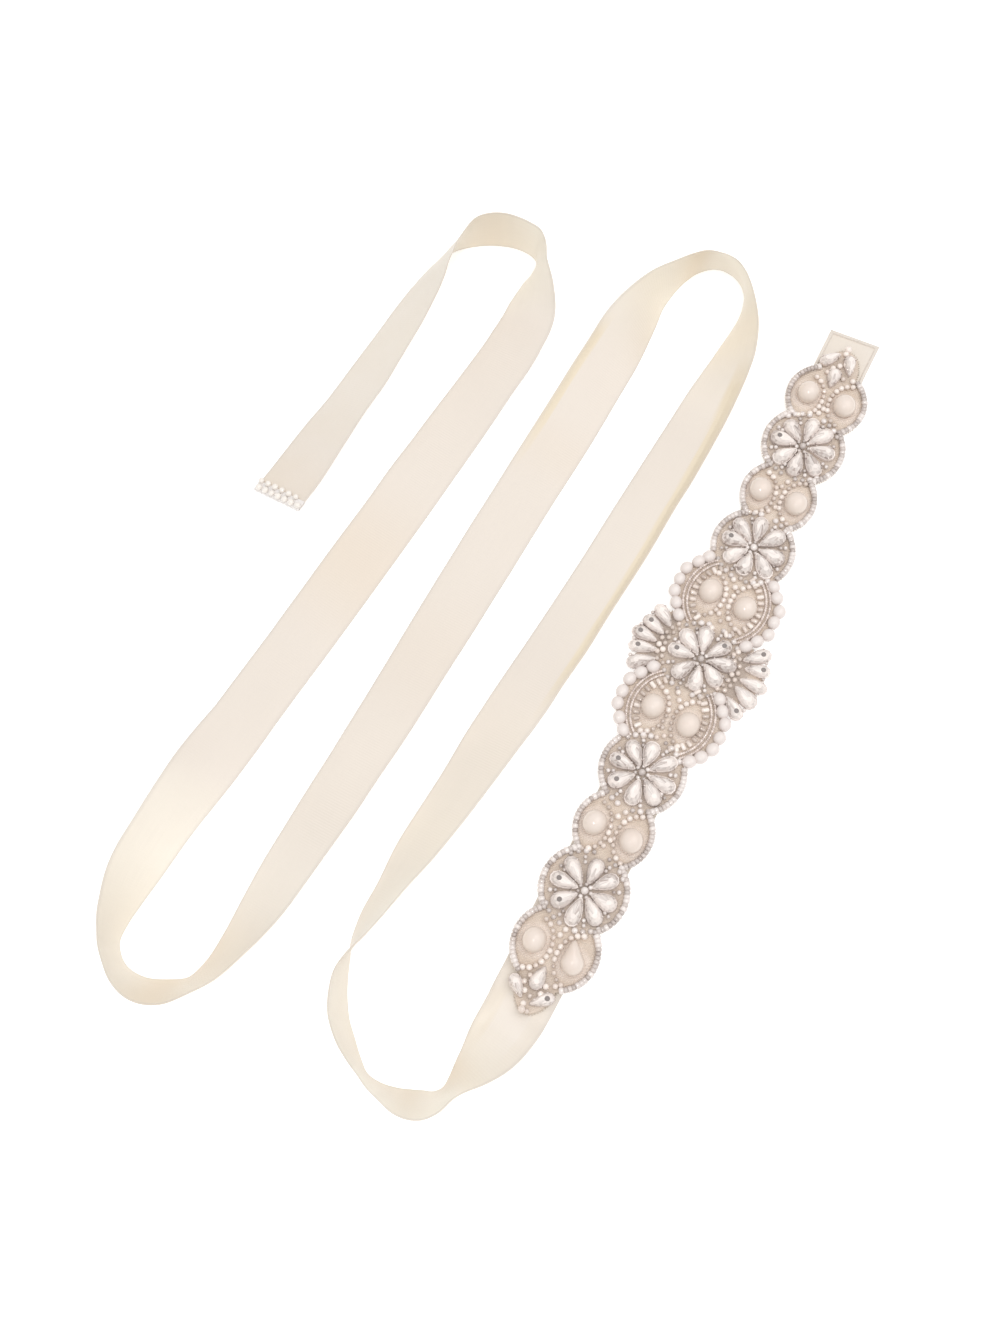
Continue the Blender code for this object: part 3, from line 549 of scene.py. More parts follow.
class MaterialMaker:
    """A material under construction: its nodes and its Principled shader."""

    def __init__(self, name):
        self.material = bpy.data.materials.new(name)
        self.material.use_nodes = True
        self.tree = self.material.node_tree
        self.shader = self.tree.nodes["Principled BSDF"]

    def set(self, **sockets):
        for label, value in sockets.items():
            self.shader.inputs[label.replace("_", " ")].default_value = value

    def link(self, output, socket):
        self.tree.links.new(output, self.shader.inputs[socket])

    def group(self, name, vector, **values):
        """The outputs of a shader group, which is built the first time it is used."""
        group = bpy.data.node_groups.get(name) or GROUP_BUILDERS[name](name)
        inputs = {label.replace("_", " "): value for label, value in values.items()}
        return add_node(self.tree, "ShaderNodeGroup", {"Vector": vector, **inputs},
                        node_tree=group).outputs

    def tone(self, vector, scale, amount, colour, second):
        return self.group("Uneven Tone", vector, Scale=scale, Amount=amount,
                          Colour=(*colour, 1), Second_Colour=(*second, 1))

    def threads(self, vector, thread, pick, unevenness):
        return self.group("Woven Threads", vector, Thread=thread, Pick=pick,
                          Unevenness=unevenness)

    def flecks(self, vector, scale, size):
        return self.group("Fine Flecks", vector, Scale=scale, Size=size)

    def object_place(self):
        return add_node(self.tree, "ShaderNodeTexCoord").outputs["Object"]

    def map(self, name):
        return add_node(self.tree, "ShaderNodeUVMap", uv_map=name).outputs["UV"]

    def attribute(self, name):
        return add_node(self.tree, "ShaderNodeAttribute", attribute_name=name).outputs["Fac"]

    def mix(self, share, first, second, blend="MIX"):
        """Two colours mixed. Each is a colour or another node's output."""
        first, second = ((*colour, 1) if isinstance(colour, tuple) else colour
                         for colour in (first, second))
        return add_node(self.tree, "ShaderNodeMix", {"Factor": share, 6: first, 7: second},
                        data_type="RGBA", blend_type=blend).outputs[2]

    def tint(self, share, body, colour):
        """A node's output multiplied by a colour, or by another node's output."""
        return self.mix(share, body, colour, "MULTIPLY")

    def ramp(self, value, *stops):
        """A colour ramp from (position, colour) stops."""
        node = add_node(self.tree, "ShaderNodeValToRGB", {"Fac": value})
        elements = node.color_ramp.elements
        while len(elements) < len(stops):
            elements.new(0.5)
        for element, (position, colour) in zip(elements, stops):
            element.position = position
            element.color = (*colour, 1)
        return node.outputs["Color"]

    def range(self, value, low, high, new_low, new_high):
        return add_node(self.tree, "ShaderNodeMapRange", {
            "Value": value, "From Min": low, "From Max": high, "To Min": new_low,
            "To Max": new_high}).outputs["Result"]

    def gloss(self, mask, low, high):
        """Roughness that changes with the uneven tone."""
        self.link(self.range(mask, 0, 1, low, high), "Roughness")

    def bump(self, height, distance, strength, *after):
        inputs = {"Height": height, "Distance": distance, "Strength": strength}
        inputs.update(("Normal", normal) for normal in after)
        return add_node(self.tree, "ShaderNodeBump", inputs).outputs["Normal"]


def shade(colour, factor):
    return tuple(min(1.0, c * factor) for c in colour)


def cast(colour, *factors):
    """A colour with each of its channels multiplied by a factor of its own."""
    return tuple(c * factor for c, factor in zip(colour, factors))


def satin_material():
    """Satin ribbon: long glossy threads, faint picks across, denser woven edges."""
    sizes = ribbon_settings()
    make = MaterialMaker("ivory_satin")
    cloth = make.map("cloth")
    face, back = tuple(sizes.face_colour), tuple(sizes.back_colour)
    tone = make.tone(cloth, 38, 0.55, face, cast(face, 0.985, 0.97, 0.93))
    body = make.mix(make.attribute("other_face"), tone["Colour"], back)
    # Painted light: the parts that stand on edge get a lighter base colour than the flat runs
    standing = make.range(make.attribute("stand"), 0.35, 1.0, 0.0, 0.9)
    body = make.mix(standing, body, cast(face, 1.033, 1.039, 0.985))
    # Painted sheen and shade from the gleams along the route, then a painted warm tint where light
    # is thrown back between folds
    light = make.attribute("light")
    body = make.tint(make.range(light, 0.0, 1.5, 0.0, 1.0), body, (1.15, 1.18, 1.20))
    body = make.tint(make.range(light, 0.0, -1.0, 0.0, 1.0), body, (0.92, 0.895, 0.87))
    body = make.tint(make.attribute("warm"), body, (1.02, 0.96, 0.86))
    # Painted shade on the curled edge strips: a deeper, warmer tone
    body = make.mix(make.attribute("gold"), body, cast(face, 1.00, 0.955, 0.82))
    edge = make.range(make.attribute("edge"), 0.0, 1.0, 0.0, 0.45)
    body = make.mix(edge, body, shade(face, 0.82))
    threads = make.threads(cloth, 0.00042, 0.0011, 0.25)
    stretch = add_node(make.tree, "ShaderNodeMapping", {"Vector": cloth, "Scale": (60, 2600, 1)})
    slubs = add_node(make.tree, "ShaderNodeTexNoise", {
        "Vector": stretch.outputs["Vector"], "Scale": 1.0, "Detail": 3}).outputs["Fac"]
    body = make.mix(make.range(slubs, 0.3, 0.7, 0.0, 0.10), body, shade(face, 0.86))
    make.link(body, "Base Color")
    make.link(make.range(slubs, 0.3, 0.7, 0.38, 0.50), "Roughness")
    normal = make.bump(threads["Height"], 0.00005, 0.6)
    make.link(make.bump(slubs, 0.00006, 0.5, normal), "Normal")
    make.set(Sheen_Weight=0.18, Sheen_Roughness=0.35, Specular_IOR_Level=0.42)
    return make.material


def hem_material():
    """The tab's hem: the satin turned over, with its threads close together."""
    make = MaterialMaker("satin_hem")
    place = make.object_place()
    face = tuple(ribbon_settings().face_colour)
    tone = make.tone(place, 160, 0.8, shade(face, 0.98), shade(face, 0.91))
    make.link(tone["Colour"], "Base Color")
    threads = make.threads(place, 0.0005, 0.0007, 0.4)
    make.link(make.bump(threads["Height"], 0.00005, 0.8), "Normal")
    make.gloss(tone["Mask"], 0.42, 0.56)
    make.set(Sheen_Weight=0.2)
    return make.material


def net_material():
    """The whitish netting that closes the free end."""
    make = MaterialMaker("end_netting")
    place = make.object_place()
    colour = tuple(ribbon_settings().net_colour)
    threads = make.threads(place, 0.0007, 0.0007, 0.5)
    tone = make.tone(place, 240, 0.7, colour, shade(colour, 0.9))
    gaps = make.range(threads["Gaps"], 0.3, 0.8, 0, 0.35)
    make.link(make.mix(gaps, tone["Colour"], shade(colour, 0.84)), "Base Color")
    make.link(make.bump(threads["Height"], 0.00012, 0.9), "Normal")
    make.gloss(tone["Mask"], 0.5, 0.65)
    make.set(Sheen_Weight=0.3)
    return make.material


def thread_material(name, colour):
    """Sewing thread: twisted, a little fuzzy, lighter where it is worn."""
    make = MaterialMaker(name)
    place = make.object_place()
    tone = make.tone(place, 700, 0.9, colour, shade(colour, 0.78))
    make.link(tone["Colour"], "Base Color")
    flecks = make.flecks(place, 2600, 0.3)
    make.link(make.bump(flecks["Height"], 0.00008, 0.7), "Normal")
    make.gloss(tone["Mask"], 0.5, 0.75)
    make.set(Sheen_Weight=0.25)
    return make.material


def ground_material():
    """Stiffened net over a felt: a diagonal mesh with knots, mottled by the glue. It is
    darker in the shade of the stones, and paler where the pearls throw light on it."""
    make = MaterialMaker("applique_ground")
    place = make.object_place()
    colour = tuple(applique_settings().ground_colour)
    tone = make.tone(place, 150, 0.75, colour, shade(cast(colour, 1, 0.95, 0.9), 0.8))
    diagonal = add_node(make.tree, "ShaderNodeMapping", {
        "Vector": place, "Rotation": (0, 0, math.radians(45 - APPLIQUE_HEADING))})
    threads = make.threads(diagonal.outputs["Vector"], 0.0009, 0.0009, 0.35)
    knots = make.flecks(place, 1500, 0.28)
    gaps = make.range(threads["Gaps"], 0.3, 0.75, 0, 0.45)
    body = make.mix(gaps, tone["Colour"], shade(colour, 0.72))
    body = make.mix(make.range(knots["Mask"], 0, 1, 0, 0.3), body, shade(colour, 1.25))
    # Painted shade between the stones: the ground is darkened towards a deeper tone
    stone_shade_colour = shade(cast(colour, 1, 0.97, 0.98), 0.55)
    body = make.mix(make.range(make.attribute("under_stones"), 0, 1, 0, 0.85), body, stone_shade_colour)
    body = make.tint(make.attribute("by_pearls"), body, (1.16, 1.19, 1.25))
    make.link(body, "Base Color")
    normal = make.bump(threads["Height"], 0.00016, 0.9)
    make.link(make.bump(knots["Height"], 0.0001, 0.4, normal), "Normal")
    make.gloss(tone["Mask"], 0.55, 0.8)
    make.set(Sheen_Weight=0.15)
    return make.material


def crystal_material():
    """Foil-backed cut stones. Each facet has its own tone, a painted reflection."""
    make = MaterialMaker("foiled_crystal")
    bright = tuple(applique_settings().crystal_colour)
    # Painted reflections: each facet's tone, from a dark spot to a bright facet
    facets = make.ramp(make.attribute("facet"), (0.0, (0.21, 0.18, 0.17)),
                       (0.12, (0.48, 0.40, 0.37)), (0.35, shade(bright, 0.72)),
                       (0.60, shade(bright, 0.88)), (1.0, bright))
    tone = make.tone(make.object_place(), 520, 0.6, (1, 1, 1), (0.88, 0.85, 0.84))
    make.link(make.tint(FULL_TINT, facets, tone["Colour"]), "Base Color")
    make.gloss(tone["Mask"], 0.22, 0.34)
    make.set(Metallic=0.0, Coat_Weight=0.5, Coat_Roughness=0.08, IOR=1.5)
    return make.material


def pearl_material(name, colour, rim, scale):
    """A pearl's coat: a soft gloss over a faintly cloudy, slightly dimpled skin, with a painted
    highlight on its crown and painted shade down its sides."""
    make = MaterialMaker(name)
    place = make.object_place()
    tone = make.tone(place, scale, 0.7, colour, cast(colour, 0.97, 0.93, 0.90))
    # Painted light: the crown is lighter and the sides are in painted shade
    make.link(make.mix(make.attribute("crown"), rim, tone["Colour"]), "Base Color")
    make.gloss(tone["Mask"], 0.28, 0.38)
    flecks = make.flecks(place, scale * 3, 0.4)
    make.link(make.bump(flecks["Height"], 0.00003, 0.35), "Normal")
    make.set(Coat_Weight=0.8, Coat_Roughness=0.04, Specular_IOR_Level=0.4)
    return make.material


def silver_material(name, dark, middle, light, metallic):
    """Silver-lined beads or plated settings. Each bead has its own tone."""
    make = MaterialMaker(name)
    place = make.object_place()
    beads = make.ramp(make.attribute("tone"), (0.0, dark), (0.22, shade(middle, 0.85)),
                      (0.5, middle), (0.8, light), (1.0, shade(light, 1.06)))
    tone = make.tone(place, 900, 0.55, (1, 1, 1), (0.80, 0.79, 0.80))
    make.link(make.tint(FULL_TINT, beads, tone["Colour"]), "Base Color")
    make.gloss(tone["Mask"], 0.16, 0.32)
    flecks = make.flecks(place, 3000, 0.3)
    make.link(make.bump(flecks["Height"], 0.00003, 0.4), "Normal")
    make.set(Metallic=metallic, Coat_Weight=0.5, Coat_Roughness=0.06)
    return make.material


# ---------------------------------------------------------------- geometry trees

ROW_TREE = "Threaded Row"
ROW_INPUTS = (
    ("Path", "Geometry"), ("Bead", "Object"), ("Pitch", "Float"), ("Size", "Vector"),
    ("Unevenness", "Float"), ("Wobble", "Float"), ("Turn", "Float"), ("Seed", "Int"),
    ("Finish", "Material"),
)
# The sockets of a Random Value node, by what it is used for
VECTOR_LOW, VECTOR_HIGH, FLOAT_LOW, FLOAT_HIGH, RANDOM_SEED = 0, 1, 2, 3, 8
RANDOM_VECTOR, RANDOM_FLOAT = 0, 1


def row_tree():
    """Beads or stitches threaded along a path, at an even pitch, each a little uneven."""
    tree = bpy.data.node_groups.get(ROW_TREE)
    if tree:
        return tree
    tree = bpy.data.node_groups.new(ROW_TREE, "GeometryNodeTree")
    for name, kind in ROW_INPUTS:
        tree.interface.new_socket(name, in_out="INPUT", socket_type="NodeSocket" + kind)
    tree.interface.new_socket("Row", in_out="OUTPUT", socket_type="NodeSocketGeometry")
    given = tree.nodes.new("NodeGroupInput").outputs
    result = tree.nodes.new("NodeGroupOutput").inputs

    def add(kind, output, inputs=None, **settings):
        return add_node(tree, kind, inputs, **settings).outputs[output]

    def scaled(vector, size):
        return add("ShaderNodeVectorMath", "Vector", {0: vector, "Scale": size},
                   operation="SCALE")

    curve = add("GeometryNodeMeshToCurve", "Curve", {"Mesh": given["Path"]})
    even = add("GeometryNodeResampleCurve", "Curve", {"Curve": curve, "Length": given["Pitch"]},
               mode="LENGTH")
    bead = add("GeometryNodeObjectInfo", "Geometry",
               {"As Instance": True, "Object": given["Bead"]})
    along = add("FunctionNodeAlignRotationToVector", "Rotation",
                {"Vector": add("GeometryNodeInputTangent", "Tangent")}, axis="X")
    wobble = add("FunctionNodeRandomValue", RANDOM_VECTOR, {
        VECTOR_LOW: scaled((-1, -1, -1), given["Wobble"]),
        VECTOR_HIGH: scaled((1, 1, 1), given["Wobble"]),
        RANDOM_SEED: given["Seed"]}, data_type="FLOAT_VECTOR")
    upright = add("ShaderNodeCombineXYZ", 0, {"Z": given["Turn"]})
    angles = add("ShaderNodeVectorMath", "Vector", {0: wobble, 1: upright})
    rotation = add("FunctionNodeEulerToRotation", "Rotation", {0: angles})
    rotation = add("FunctionNodeRotateRotation", "Rotation",
                   {"Rotation": along, "Rotate By": rotation}, rotation_space="LOCAL")
    scale = add("FunctionNodeRandomValue", RANDOM_FLOAT, {
        FLOAT_LOW: add_math(tree, "SUBTRACT", 1.0, given["Unevenness"]),
        FLOAT_HIGH: add_math(tree, "ADD", 1.0, given["Unevenness"]),
        RANDOM_SEED: given["Seed"]}, data_type="FLOAT")
    beads = add("GeometryNodeInstanceOnPoints", "Instances", {
        "Points": even, "Instance": bead, "Rotation": rotation,
        "Scale": scaled(given["Size"], scale)})
    tone = add("FunctionNodeRandomValue", RANDOM_FLOAT, {RANDOM_SEED: given["Seed"]},
               data_type="FLOAT")
    toned = add("GeometryNodeStoreNamedAttribute", "Geometry",
                {"Geometry": beads, "Name": "tone", "Value": tone},
                data_type="FLOAT", domain="INSTANCE")
    real = add("GeometryNodeRealizeInstances", "Geometry", {"Geometry": toned})
    finished = add("GeometryNodeSetMaterial", "Geometry",
                   {"Geometry": real, "Material": given["Finish"]})
    tree.links.new(finished, result["Row"])
    return tree


# Half sections of the beads and the stitch, one long, as (along, radius) steps
ROUND_PROFILE = ((-0.48, 0.14), (-0.33, 0.38), (0.0, 0.5), (0.33, 0.38), (0.48, 0.14))
CUT_PROFILE = ((-0.5, 0.30), (-0.36, 0.46), (0.36, 0.46), (0.5, 0.30))
STITCH_PROFILE = ((-0.5, 0.12), (-0.3, 0.34), (0.0, 0.42), (0.3, 0.34), (0.5, 0.12))
# One kind of bead or stitch: its profile, its sides, its size along, across and up in
# millimetres, how uneven its size is, how many degrees it wobbles, and how far it is turned
Bead = namedtuple("Bead", "profile sides size unevenness wobble turn", defaults=(0,))
BORDER_BEAD = Bead(CUT_PROFILE, 8, (1.75, 2.8, 2.4), 0.10, 9)
CORD_BEAD = Bead(ROUND_PROFILE, 8, (1.30, 1.15, 1.1), 0.08, 14, 24)
BUGLE_BEAD = Bead(CUT_PROFILE, 8, (2.9, 2.0, 1.9), 0.12, 10, 90)
SEED_BEAD = Bead(ROUND_PROFILE, 10, (2.2, 2.3, 2.0), 0.20, 15)
SMALL_BEAD = Bead(ROUND_PROFILE, 8, (1.6, 1.7, 1.5), 0.18, 20)
TIP_BEAD = Bead(ROUND_PROFILE, 14, (3.0, 3.0, 2.7), 0.10, 20)
END_BEAD = Bead(ROUND_PROFILE, 12, (2.7, 2.8, 2.3), 0.12, 12)
HEM_STITCH = Bead(STITCH_PROFILE, 6, (1.25, 0.32, 0.26), 0.08, 4)
EDGE_STITCH = Bead(STITCH_PROFILE, 6, (1.9, 0.75, 1.0), 0.12, 10, 82)


def bead_shape(name, profile, sides):
    """A bead or stitch one metre long, along x."""
    turns = [2 * math.pi * j / sides for j in range(sides)]
    rings = [[Vector((along, radius * math.cos(turn), radius * math.sin(turn)))
              for turn in turns] for along, radius in profile]
    mesh = plain_mesh(name, [p for ring in rings for p in ring], [], skin(rings))
    mesh.shade_smooth()
    obj = linked(name, mesh)
    face_outwards(obj)
    return obj


def threaded(name, paths, bead, pitch, finish, seed):
    """A plain mesh of beads along the paths. Paths and pitch are in millimetres."""
    points, edges = [], []
    for path in paths:
        edges += [(i, i + 1) for i in range(len(points), len(points) + len(path) - 1)]
        points += path
    line = linked(name + "_path", plain_mesh(name + "_path", in_metres(points), edges, []))
    shape = bead_shape(name + "_bead", bead.profile, bead.sides)
    tree = row_tree()
    modifier = line.modifiers.new("row", "NODES")
    modifier.node_group = tree
    values = {
        "Bead": shape, "Pitch": pitch * MM, "Size": [s * MM for s in bead.size],
        "Unevenness": bead.unevenness, "Wobble": math.radians(bead.wobble),
        "Turn": math.radians(bead.turn), "Seed": applique_settings().seed + seed,
        "Finish": finish,
    }
    for item in tree.interface.items_tree:
        if item.in_out == "INPUT" and item.name in values:
            modifier[item.identifier] = values[item.name]
    bpy.context.view_layer.update()
    graph = bpy.context.evaluated_depsgraph_get()
    made = bpy.data.meshes.new_from_object(line.evaluated_get(graph))
    if not made.polygons:
        raise RuntimeError(f"{name} came out empty")
    for obj in (line, shape):
        bpy.data.objects.remove(obj, do_unlink=True)
    made.name = name
    return linked(name, made)


# ---------------------------------------------------------------- ribbon

class Route:
    """The smooth curve through the stations, measured along its chords."""

    def __init__(self, stations):
        self.points = stations
        self.at = [0.0]
        for a, b in zip(self.points, self.points[1:]):
            self.at.append(self.at[-1] + math.hypot(b[0] - a[0], b[1] - a[1]))
        self.slopes = [self.slope(i) for i in range(len(self.points))]

    def slope(self, i):
        """How fast each value changes at a station, from its two neighbours."""
        low, high = max(i - 1, 0), min(i + 1, len(self.points) - 1)
        if low == i or high == i:
            span = self.at[high] - self.at[low]
            return [(b - a) / span for a, b in zip(self.points[low], self.points[high])]
        before, after = self.at[i] - self.at[low], self.at[high] - self.at[i]
        slopes = []
        for n, (a, p, b) in enumerate(zip(*(self.points[k] for k in (low, i, high)))):
            first, then = (p - a) / before, (b - p) / after
            if n >= 2 and first * then <= 0:
                slopes.append(0.0)
            else:
                slopes.append((first * after + then * before) / (before + after))
        return slopes

    def value(self, at):
        """x, y, roll, left and right at a distance along the route."""
        i = 0
        while i < len(self.at) - 2 and at > self.at[i + 1]:
            i += 1
        span = self.at[i + 1] - self.at[i]
        t = (at - self.at[i]) / span
        start, end = (2 * t**3 - 3 * t**2 + 1), (3 * t**2 - 2 * t**3)
        leave, arrive = (t**3 - 2 * t**2 + t) * span, (t**3 - t**2) * span
        rows = zip(self.points[i], self.points[i + 1], self.slopes[i], self.slopes[i + 1])
        return [a * start + b * end + m * leave + n * arrive for a, b, m, n in rows]

    def heading(self, at):
        """The direction of travel, level, as a unit vector."""
        x0, y0 = self.value(at - 0.2)[:2]
        x1, y1 = self.value(at + 0.2)[:2]
        return Vector((x1 - x0, y1 - y0, 0)).normalized()


def section_axes(heading, roll):
    """Unit vectors across the ribbon to its right and out of its first face."""
    side, up = Vector((heading.y, -heading.x, 0)), Vector((0, 0, 1))
    return (side * math.cos(roll) + up * math.sin(roll),
            up * math.cos(roll) - side * math.sin(roll))


def crease_lift(at, across):
    """How far the cloth is lifted at a place by its creases and edge waves."""
    lift = 0.0
    for crease in CREASES:
        along = (at - crease.at - crease.slant * (across - crease.across)) / crease.length
        if abs(along) < CREASE_REACH:
            side = (across - crease.across) / crease.breadth
            lift += crease.lift * math.exp(-along * along - side * side)
    for wave in EDGE_WAVES:
        if wave.first < at < wave.last:
            fade = (smooth_step((at - wave.first) / WAVE_FADE)
                    * smooth_step((wave.last - at) / WAVE_FADE))
            near = smooth_step((wave.side * across - WAVE_INNER) / (WAVE_OUTER - WAVE_INNER))
            turn = 2 * math.pi * (at - wave.first) / wave.length
            turn += 0.8 * math.sin(turn * 0.37)
            lift += wave.swing * fade * near * math.sin(turn)
    return lift


def strip_width(at):
    """How wide the curled strip is at a distance along the route."""
    for (from_at, from_width), (to_at, to_width) in zip(STRIP_WIDTHS, STRIP_WIDTHS[1:]):
        if at < to_at:
            share = max(0.0, (at - from_at) / (to_at - from_at))
            return from_width + (to_width - from_width) * share
    return STRIP_WIDTHS[-1][1]


def gleam(at, which):
    """How light (painted sheen and shade) or how warm (painted light thrown back between folds)
    the satin's tone is at a distance along the route, or how much lighter its right side is
    painted."""
    return sum(getattr(g, which) * smooth_step(1 - abs(at - g.at) / g.reach) for g in GLEAMS)


def gold_share(at, column, half, curl):
    """How much painted shade, a deeper and warmer tone, a curled strip has."""
    reach = abs(column) * half - (half - GOLD_SPREAD * strip_width(at))
    whole = 1 if at < GOLD_LAST else GOLD_REST
    return smooth_step(reach / GOLD_FADE) * min(1.0, abs(curl) / GOLD_FULL) * whole


def section_line(columns, half, left, right, strip):
    """The ribbon's section as (across, up, lean) rows, from its left edge to its right."""
    fold = half - strip
    middle = len(columns) // 2
    spots = {middle: (0.0, 0.0, 0.0)}
    for step in (-1, 1):
        curl = right if step > 0 else left
        x, y, lean = 0.0, 0.0, 0.0
        i = middle
        while 0 <= i + step < len(columns):
            wide = abs(columns[i + step] - columns[i]) * half
            out = abs(columns[i + step]) * half
            bend = curl * smooth_step((out - fold) / STRIP_BEND)
            x += step * wide * math.cos((lean + bend) / 2)
            y += wide * math.sin((lean + bend) / 2)
            lean = bend
            i += step
            spots[i] = (x, y, step * lean)
    return [spots[i] for i in range(len(columns))]


# One row of the ribbon's mesh: its two faces from the left edge to the right, how far along it
# is, how much it stands on edge, and how deep each column's painted shade is
RibbonRow = namedtuple("RibbonRow", "upper under at stand golds")


def laid_row(route, at, sizes):
    """The row at one place of the ribbon's route, resting on the table."""
    half, thickness = sizes.width / MM / 2, sizes.thickness / MM
    x, y, *angles = route.value(at)
    roll, left, right = (math.radians(a) for a in angles)
    face = math.cos(roll)
    across, normal = section_axes(route.heading(at), roll)
    section = section_line(RIBBON_COLUMNS, half, left * face, right * face, strip_width(at))
    upper, under, golds = [], [], []
    for column, (aside, up, lean) in zip(RIBBON_COLUMNS, section):
        out = normal * math.cos(lean) - across * math.sin(lean)
        lift = crease_lift(at, column * half) * sizes.crease_depth
        spot = Vector((x, y, 0)) + across * aside + normal * up + out * lift
        wall = thickness
        if abs(column) * half > half - SELVEDGE:
            wall *= SELVEDGE_WALL if abs(column) < 1 else OUTER_WALL
        upper.append(spot + out * (wall / 2))
        under.append(spot - out * (wall / 2))
        golds.append(gold_share(at, column, half, left if column < 0 else right))
    lowest = min(p.z for p in upper + under)
    rise = LIFT_BY_BINDING * (1 - smooth_step((at - BINDING_LENGTH) / LIFT_LENGTH))
    shift = Vector((0, 0, rise - lowest))
    return RibbonRow([p + shift for p in upper], [p + shift for p in under], at,
                     abs(math.sin(roll)), golds)


def flat_row(u, first_u, at, sizes):
    """The row at u where the ribbon lies flat, under the applique and in the tab."""
    half, thickness = sizes.width / MM / 2, sizes.thickness / MM
    share = smooth_step((u - first_u) / (TAB_INNER_END - first_u))
    reach = half + (TAB_WIDTH / 2 - half) * share
    upper, under = [], []
    for column in RIBBON_COLUMNS:
        v = -column * reach + TAB_SHIFT * share
        low = FLAT_WAVES * (1 + math.sin(u * 0.31 + column * 2.1)) * sizes.crease_depth
        along = u + tab_slant(u) * column
        upper.append(placed(along, v, low + thickness))
        under.append(placed(along, v, low))
    return RibbonRow(upper, under, at, 0.0, [0.0] * len(RIBBON_COLUMNS))


def ribbon_rows(sizes):
    """Every row of the ribbon, from the free end to the tab's end."""
    route = Route(ROUTE)
    step = sizes.row_step / MM
    first, last = RIBBON_START, route.at[-1]
    count = int((last - first) / step)
    rows = [laid_row(route, first + (last - first) * i / count, sizes) for i in range(count)]
    heading = math.radians(APPLIQUE_HEADING)
    start = Vector(ROUTE[-1][:2]) - Vector(APPLIQUE_CENTRE)
    first_u = start.dot(Vector((math.cos(heading), math.sin(heading))))
    count = int((TAB_OUTER_END - first_u) / (step * FLAT_STEP))
    for i in range(count + 1):
        u = first_u + (TAB_OUTER_END - first_u) * i / count
        rows.append(flat_row(u, first_u, last + u - first_u, sizes))
    return rows


def ribbon_place(rows, index):
    """A point's row, its column, and 1 if it is on the other face."""
    count = len(RIBBON_COLUMNS)
    row, place = divmod(index, 2 * count)
    if place < count:
        return rows[row], place, 0.0
    return rows[row], 2 * count - 1 - place, 1.0


def ribbon_tones(row, column, other_face):
    """What the satin's material reads at one point, its painted light and shade included."""
    across = RIBBON_COLUMNS[column]
    return {
        "other_face": other_face,
        "edge": smooth_step((abs(across) - EDGE_TONE) / EDGE_TONE_FADE),
        "stand": row.stand,
        "gold": row.golds[column],
        "light": gleam(row.at, "light") + across * gleam(row.at, "right"),
        "warm": gleam(row.at, "warm"),
    }


def make_ribbon():
    """The satin ribbon, one thin closed shell from the free end to the tab."""
    sizes = ribbon_settings()
    rows = ribbon_rows(sizes)
    rings = [row.upper + row.under[::-1] for row in rows]
    obj = ring_object("satin_ribbon", [rings], satin_material())
    loop_map = obj.data.uv_layers.new(name="cloth")
    for loop in obj.data.loops:
        row, column, _ = ribbon_place(rows, loop.vertex_index)
        loop_map.data[loop.index].uv = (row.at * MM, RIBBON_COLUMNS[column] * sizes.width / 2)
    tones = [ribbon_tones(*ribbon_place(rows, i)) for i in range(len(obj.data.vertices))]
    for name in tones[0]:
        mark(obj, name, [tone[name] for tone in tones])
    return obj


def on_free_end(route, along, across, height, half):
    """A place on the free end, which rests on the binding's lower edge. across is from the
    ribbon's middle, height is over it, and half is half the width that rests there."""
    x, y, roll = route.value(along)[:3]
    roll = math.radians(roll)
    right, normal = section_axes(route.heading(max(along, 0.2)), roll)
    spot = Vector((x, y, 0)) + right * across + normal * height
    spot.z += half * abs(math.sin(roll)) + BINDING_THICKNESS * math.cos(roll)
    return spot


def make_end_binding():
    """A folded band of netting over the ribbon's cut end."""
    route = Route(ROUTE)
    half = ribbon_settings().width / MM / 2 + BINDING_OVERHANG
    last = BINDING_LENGTH - 0.1
    # the folded band's outline: how far along, and how high over the ribbon's middle
    outer = [(last, 0.62), (last - 1.2, BINDING_THICKNESS), (2.2, 0.66), (1.0, 0.66),
             (0.35, 0.50), (0.05, 0.20)]
    inner = [(0.62, 0.12), (1.2, 0.27), (3.0, 0.27), (last, 0.28)]
    outline = outer + [(along, -height) for along, height in reversed(outer)]
    outline += [(along, -height) for along, height in reversed(inner)] + inner
    rings = []
    steps = 34
    for i in range(steps + 1):
        ring = []
        for along, height in outline:
            ragged = 0.18 * math.sin(i * 1.9) * max(0.0, 1 - along / 1.5)
            spot = on_free_end(route, along, half * (2 * i / steps - 1), height, half)
            ring.append(spot + route.heading(max(along, 0.2)) * ragged)
        rings.append(ring)
    return ring_object("free_end_netting", [rings], net_material(), sharp_angle=50)


def make_end_beads(finish):
    """Two staggered rows of small beads on the binding."""
    route = Route(ROUTE)
    half = ribbon_settings().width / MM / 2
    steps = 12
    paths = [[on_free_end(route, along, half * (first + (last - first) * i / steps),
                          END_BEAD_HEIGHT, half) for i in range(steps + 1)]
             for along, first, last in ((1.8, -0.84, 0.92), (4.9, -0.92, 0.66))]
    return threaded("free_end_beads", paths, END_BEAD, END_BEAD_PITCH, finish, seed=3)


def tab_slant(u):
    """How far the tab's right edge runs on past its middle at u."""
    return TAB_SLANT * max(0.0, u - TAB_INNER_END) / (TAB_OUTER_END - TAB_INNER_END)


def hem_path(inset, height):
    """Round the tab's three free edges."""
    edge = TAB_WIDTH / 2 - inset
    first, last = TAB_INNER_END - 6, TAB_OUTER_END - inset
    corners = ((first, edge), (last, edge), (last, -edge), (first, -edge))
    steps = 12
    path = [(u0 + (u1 - u0) * i / steps, v0 + (v1 - v0) * i / steps)
            for (u0, v0), (u1, v1) in zip(corners, corners[1:]) for i in range(steps)]
    return [placed(u - tab_slant(u) * v / edge, v + TAB_SHIFT, height)
            for u, v in path + [corners[-1]]]


